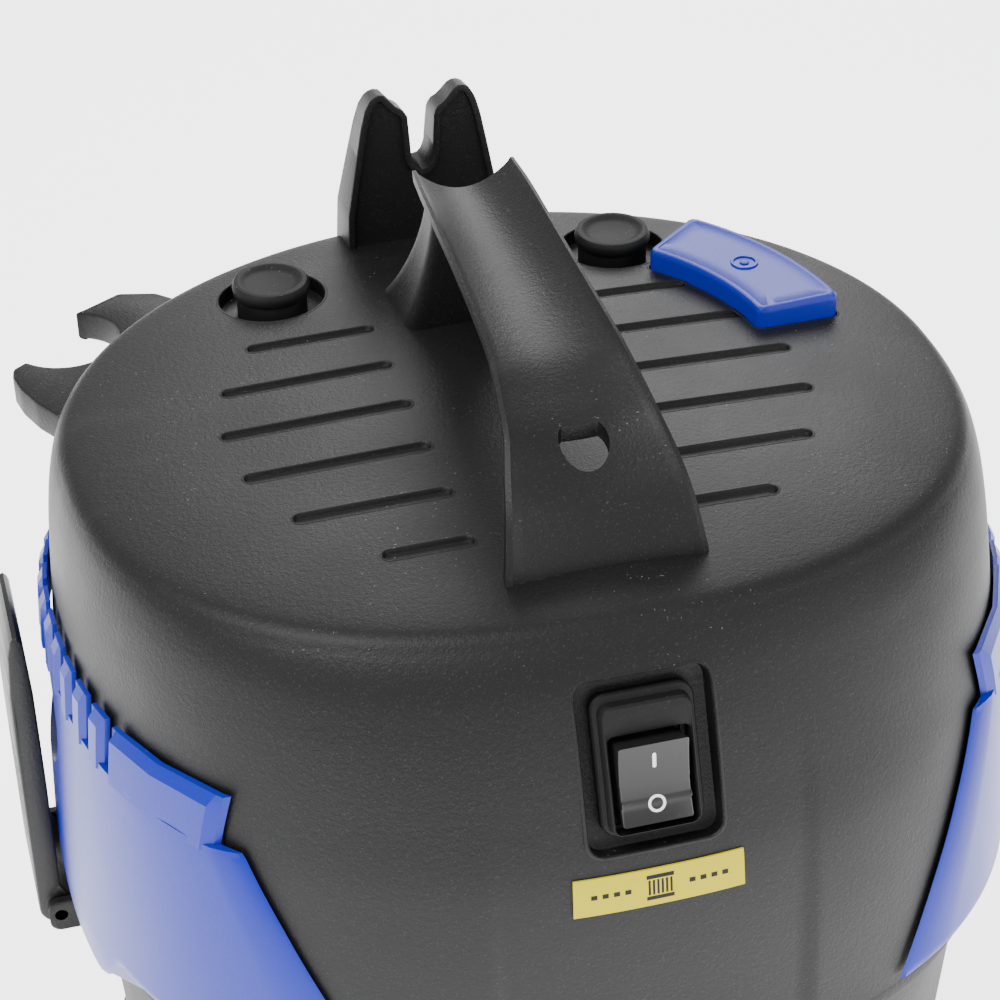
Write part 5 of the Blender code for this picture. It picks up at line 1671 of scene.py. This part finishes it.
        for z in (0.030, 0.040, 0.050, 0.060):
            ring = rounded_box(half - 0.008, 0.0016, 0.0015, 40)
            sheet = [np.stack([np.full(len(ring), side * (pin_x + x)), centre + ring[:, 0],
                               pin_z + z + ring[:, 1]], axis=-1) for x in (0.0058, 0.0098)]
            tools.append(net(f"latch_slot_{title}_{z:.3f}", np.stack(sheet)))
        return cut(latch, *tools)

    def build(self) -> None:
        """Make and dress both sides."""
        for title, side in (("left", -1), ("right", 1)):
            self.paint.dress(self.panel(title, side), Body.HEAD, "panel_blue",
                             f"side_panel_{title}")
            self.paint.dress(self.latch(title, side), f"latch_{title}", "latch_black",
                             f"latch_{title}")
        LOG.info("side panels and latches")


@dataclass
class TankAndBase:
    """Tank, chassis, suction inlet and castors."""

    form: HeadForm
    paint: Paint
    bottom_sizes: tuple[float, float, float] = (0.150, 0.152, 0.152)
    mouth_inset: float = 0.0075
    flange_inset: float = 0.0015
    flange_height: float = 0.009
    wall: float = 0.0032
    chassis_sizes: tuple[float, float] = (0.164, 0.195)
    chassis_power: float = 4.4
    columns: int = 320

    def ring(self, sizes: Array, z: float) -> Array:
        """One ring of the head's kind of oval.

        Args:
            sizes: half width, front and rear.
            z: its height.

        Returns:
            Points with X, Y, Z last.
        """
        a = turn(self.columns)
        x, y = self.form.plan(a, np.asarray(sizes, float))
        return np.stack([x, y, np.full(a.shape, z)], axis=-1)

    def tank(self) -> bpy.types.Object:
        """Tapering tank: rounded foot, straight sides, a flange and an open mouth.

        Returns:
            The tank.
        """
        low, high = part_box("tank")
        seam = np.array([self.form.half_width, self.form.front, self.form.rear])
        mouth = seam - self.mouth_inset
        foot = np.array(self.bottom_sizes)
        flange_low = high.z - self.flange_height
        rows = [self.ring(foot - 0.014, low.z), self.ring(foot - 0.0085, low.z + 0.0012),
                self.ring(foot - 0.0045, low.z + 0.0042), self.ring(foot - 0.0015, low.z + 0.0095),
                self.ring(foot, low.z + 0.016)]
        for share in np.linspace(0.0, 1.0, 24)[1:]:
            z = low.z + 0.016 + (flange_low - 0.004 - low.z - 0.016) * share
            rows.append(self.ring(foot + (mouth - foot) * share, z))
        flange = seam - self.flange_inset
        rows += [self.ring(mouth + 0.0010, flange_low - 0.0015),
                 self.ring(flange - 0.0012, flange_low - 0.0004),
                 self.ring(flange - 0.0003, flange_low + 0.0003),
                 self.ring(flange, flange_low + 0.0012), self.ring(flange, high.z - 0.0010),
                 self.ring(flange - 0.0003, high.z - 0.0003), self.ring(flange - 0.0010, high.z),
                 self.ring(mouth - self.wall, high.z)]
        floor = low.z + self.wall
        rows += [self.ring(foot - self.wall, floor + 0.012),
                 self.ring(foot - self.wall - 0.006, floor + 0.003),
                 self.ring(foot - self.wall - 0.014, floor)]
        tank = net("tank_shell", np.stack(rows))
        a = turn(64)
        spot = self.form.crown - self.form.height - 0.075
        hole = [np.stack([0.0229 * np.cos(a), np.full(a.shape, y), spot + 0.0229 * np.sin(a)],
                         axis=-1) for y in (-0.21, -0.10)]
        return cut(tank, net("inlet_hole", np.stack(hole)))

    def ears(self) -> bpy.types.Object:
        """Ears that carry the latch pins, from the node's own sizes.

        Returns:
            All four ears as one piece.
        """
        made = []
        for side in (-1, 1):
            latch_low, latch_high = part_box("latch_left" if side < 0 else "latch_right")
            z = latch_low.z + PIN_RISE
            for y in (latch_low.y - 0.0005 - 0.0020, latch_high.y + 0.0005 + 0.0020):
                outline = rounded_box(0.0125, 0.0068, 0.0045, 64)
                rows = []
                for shift, inset in ((-0.0020, 0.0005), (-0.0015, 0.0), (0.0015, 0.0),
                                     (0.0020, 0.0005)):
                    edge = outline * (1.0 - inset / 0.0068)
                    rows.append(np.column_stack([side * (0.1715 + edge[:, 0]),
                                                 np.full(len(edge), y + shift),
                                                 z - 0.0008 + edge[:, 1]]))
                made.append(net(f"ear_{side}_{y:.3f}", np.stack(rows)))
        return join(made[0], *made[1:])

    def chassis(self) -> bpy.types.Object:
        """Base tray: superellipse rings with a rounded shoulder round the tank's foot.

        Returns:
            The base.
        """
        low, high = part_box("chassis")
        half = np.array(self.chassis_sizes)
        a = turn(self.columns)
        power = -1.0 / self.chassis_power
        rows = []
        tall = high.z - low.z

        def ring(inset: float, z: float) -> Array:
            wide, deep = half - inset
            reach = ((np.abs(np.cos(a)) / wide) ** self.chassis_power
                     + (np.abs(np.sin(a)) / deep) ** self.chassis_power) ** power
            return np.stack([reach * np.cos(a), reach * np.sin(a), np.full(a.shape, z)], axis=-1)

        for inset, z in ((0.0045, low.z), (0.0012, low.z), (0.0006, low.z + 0.0006),
                         (0.0004, low.z + 0.0016), (0.0, low.z + 0.004),
                         (0.0010, low.z + tall * 0.55), (0.0022, low.z + tall * 0.78),
                         (0.0035, high.z - 0.0042), (0.0050, high.z - 0.0018),
                         (0.0075, high.z - 0.0005), (0.0105, high.z)):
            rows.append(ring(inset, z))
        inner = self.tank_outline(high.z, 0.0006)
        for share in (0.35, 0.7):
            rows.append(rows[-1] * (1 - share) + inner(a) * share)
        rows.append(inner(a))
        rows.append(self.tank_outline(high.z - 0.012, 0.0006)(a))
        rows.append(self.tank_outline(high.z - 0.012, 0.0030)(a))
        rows.append(self.tank_outline(high.z - 0.0035, 0.0030)(a))
        for inset, z in ((0.0120, high.z - 0.0035), (0.0075, high.z - 0.0060),
                         (0.0055, high.z - 0.0120)):
            rows.append(ring(inset, z))
        rows.append(rows[0])
        return hoop("chassis_tray", np.stack(rows))

    def tank_outline(self, z: float, grow: float) -> Callable[[Array], Array]:
        """Ring hugging the tank at a height, read by the angle from +X.

        Args:
            z: the height.
            grow: clearance to the tank.

        Returns:
            A function of the angle.
        """
        sizes = np.array(self.bottom_sizes) + grow + 0.0006

        def ring(a: Array) -> Array:
            x, y = self.form.plan(a + pi / 2.0, sizes)
            return np.stack([x, y, np.full(a.shape, z)], axis=-1)

        return ring

    def inlet(self) -> bpy.types.Object:
        """Inlet: a tube with stepped collars and a flange, turned along Y.

        Returns:
            The inlet.
        """
        low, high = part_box("inlet_spigot")
        z = (low.z + high.z) / 2
        bore = 0.0185
        r = 0.0225
        inside = high.y - low.y
        profile = [(bore + 0.0008, 0.0), (r - 0.0008, 0.0), (r, 0.0008), (r, 0.0048),
                   (r - 0.0006, 0.0054), (r - 0.0006, 0.0072), (r, 0.0078), (r, 0.0118),
                   (r + 0.0030, 0.0122), (r + 0.0068, 0.0132), (r + 0.0082, 0.0142),
                   (r + 0.0085, 0.0156), (r + 0.0085, 0.0300), (r, 0.0302), (r, inside - 0.001),
                   (r - 0.001, inside), (bore, inside), (bore, 0.0010), (bore + 0.0008, 0.0)]
        return turned("inlet_tube", profile, (0.0, low.y, z), "Y", 120, ring=True)

    def castor(self, where: str) -> None:
        """One castor's wheel.

        Args:
            where: front_left, front_right, rear_left or rear_right.
        """
        low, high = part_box(f"castor_wheel_{where}")
        r = (high.z - low.z) / 2
        w = (high.x - low.x) / 2
        profile = [(0.0035, -w + 0.0018), (0.0085, -w + 0.0018), (0.0092, -w + 0.0010),
                   (0.0105, -w + 0.0010), (0.0112, -w + 0.0022), (r - 0.0058, -w + 0.0022),
                   (r - 0.0050, -w + 0.0006), (r - 0.0024, -w), (r - 0.0008, -w + 0.0008),
                   (r, -w + 0.0026), (r, w - 0.0026), (r - 0.0008, w - 0.0008),
                   (r - 0.0024, w), (r - 0.0050, w - 0.0006), (r - 0.0058, w - 0.0022),
                   (0.0112, w - 0.0022), (0.0105, w - 0.0010), (0.0092, w - 0.0010),
                   (0.0085, w - 0.0018), (0.0035, w - 0.0018), (0.0035, -w + 0.0018)]
        wheel = turned(f"castor_{where}_wheel", profile, (low + high) / 2, "X", 96, ring=True)
        self.paint.dress(wheel, f"wheel_{where}", "tyre_grey", f"castor_wheel_{where}")

    def build(self) -> None:
        """Make and dress the lower half."""
        self.paint.dress(join(self.tank(), self.ears()), Body.TANK, "tank_black", "tank")
        self.paint.dress(self.chassis(), Body.TANK, "tank_black", "chassis")
        self.paint.dress(self.inlet(), Body.TANK, "inner_black", "inlet_spigot")
        for where in ("front_left", "front_right", "rear_left", "rear_right"):
            self.castor(where)
        LOG.info("tank, chassis, inlet and castors")


# ---------------------------------------------------------------- studio
@dataclass
class Studio:
    """Pale floor, soft lights and the camera."""

    eye: tuple[float, float, float] = (-0.2058, -0.7587, 0.9412)
    azimuth: float = radians(-14.99)
    elevation: float = radians(33.44)
    roll: float = radians(-1.29)
    lens: float = 93.73
    shift: float = -0.0019

    def camera(self) -> None:
        """Camera: its axes from azimuth, elevation and roll."""
        a, e, r = self.azimuth, self.elevation, self.roll
        back = Vector((sin(a) * cos(e), -cos(a) * cos(e), sin(e)))
        right = Vector((cos(a), sin(a), 0.0))
        up = back.cross(right)
        across = cos(r) * right + sin(r) * up
        rise = cos(r) * up - sin(r) * right
        data = bpy.data.cameras.new("camera")
        data.lens = self.lens
        data.sensor_width = 36.0
        data.shift_x = self.shift
        data.clip_start = 0.01
        data.clip_end = 50.0
        camera = bpy.data.objects.new("camera", data)
        turn = Matrix((across, rise, back)).transposed().to_4x4()
        camera.matrix_world = Matrix.Translation(self.eye) @ turn
        bpy.context.scene.collection.objects.link(camera)
        bpy.context.scene.camera = camera

    def area(self, name: str, place: tuple[float, float, float], size: float, power: float,
             target: tuple[float, float, float] = (0.0, 0.0, 0.3)) -> None:
        """One square area light aimed at a point.

        Args:
            name: its name.
            place: where it hangs.
            size: its side.
            power: its power in watts.
            target: what it is aimed at.
        """
        data = bpy.data.lights.new(name, "AREA")
        data.size = size
        data.energy = power
        lamp = bpy.data.objects.new(name, data)
        lamp.location = place
        aim = Vector(target) - Vector(place)
        lamp.rotation_mode = "QUATERNION"
        lamp.rotation_quaternion = aim.to_track_quat("-Z", "Y")
        bpy.context.scene.collection.objects.link(lamp)

    def floor(self) -> None:
        """Large plain floor."""
        span = 12.0
        grid = np.array([[(-span, -span, 0.0), (span, -span, 0.0)],
                         [(-span, span, 0.0), (span, span, 0.0)]])
        ground = net("floor", grid, wrap=False, ends=False)
        material = bpy.data.materials.new("floor_paint")
        material.use_nodes = True
        shader = material.node_tree.nodes["Principled BSDF"]
        shader.inputs["Base Color"].default_value = (0.92, 0.92, 0.92, 1.0)
        shader.inputs["Roughness"].default_value = 0.9
        shader.inputs["Emission Color"].default_value = (1.0, 1.0, 1.0, 1.0)
        shader.inputs["Emission Strength"].default_value = 2.6
        ground.data.materials.append(material)

    def build(self) -> None:
        """Set the world, floor, lights and camera."""
        world = bpy.data.worlds.new("studio")
        world.use_nodes = True
        light = world.node_tree.nodes["Background"]
        light.inputs["Color"].default_value = (1.0, 1.0, 1.0, 1.0)
        light.inputs["Strength"].default_value = 0.9
        bpy.context.scene.world = world
        self.area("key", (-0.9, -0.6, 2.1), 1.2, 42.0)
        self.area("fill", (1.6, -1.5, 1.2), 1.6, 16.0)
        self.area("rim", (0.6, 1.6, 1.6), 1.0, 22.0)
        self.floor()
        self.camera()
        LOG.info("studio")


def main() -> None:
    """Build the looks in order."""
    logging.basicConfig(level=logging.INFO, format="%(name)s: %(message)s")
    cover_low, cover_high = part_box("top_cover")
    form = HeadForm(crown=cover_high.z, height=cover_high.z - cover_low.z)
    switch = SwitchFrame(form)
    paint = Paint()
    Studio().build()
    paint.dress_nodes()
    fittings = TopFittings(form, paint)
    HeadShell(form, switch, paint).build(fittings.sector(0.0006))
    Carrier(form, paint).build()
    fittings.build()
    PowerSwitch(form, switch, paint).build()
    SideGuards(form, paint).build()
    TankAndBase(form, paint).build()


if __name__ == "__main__":
    main()
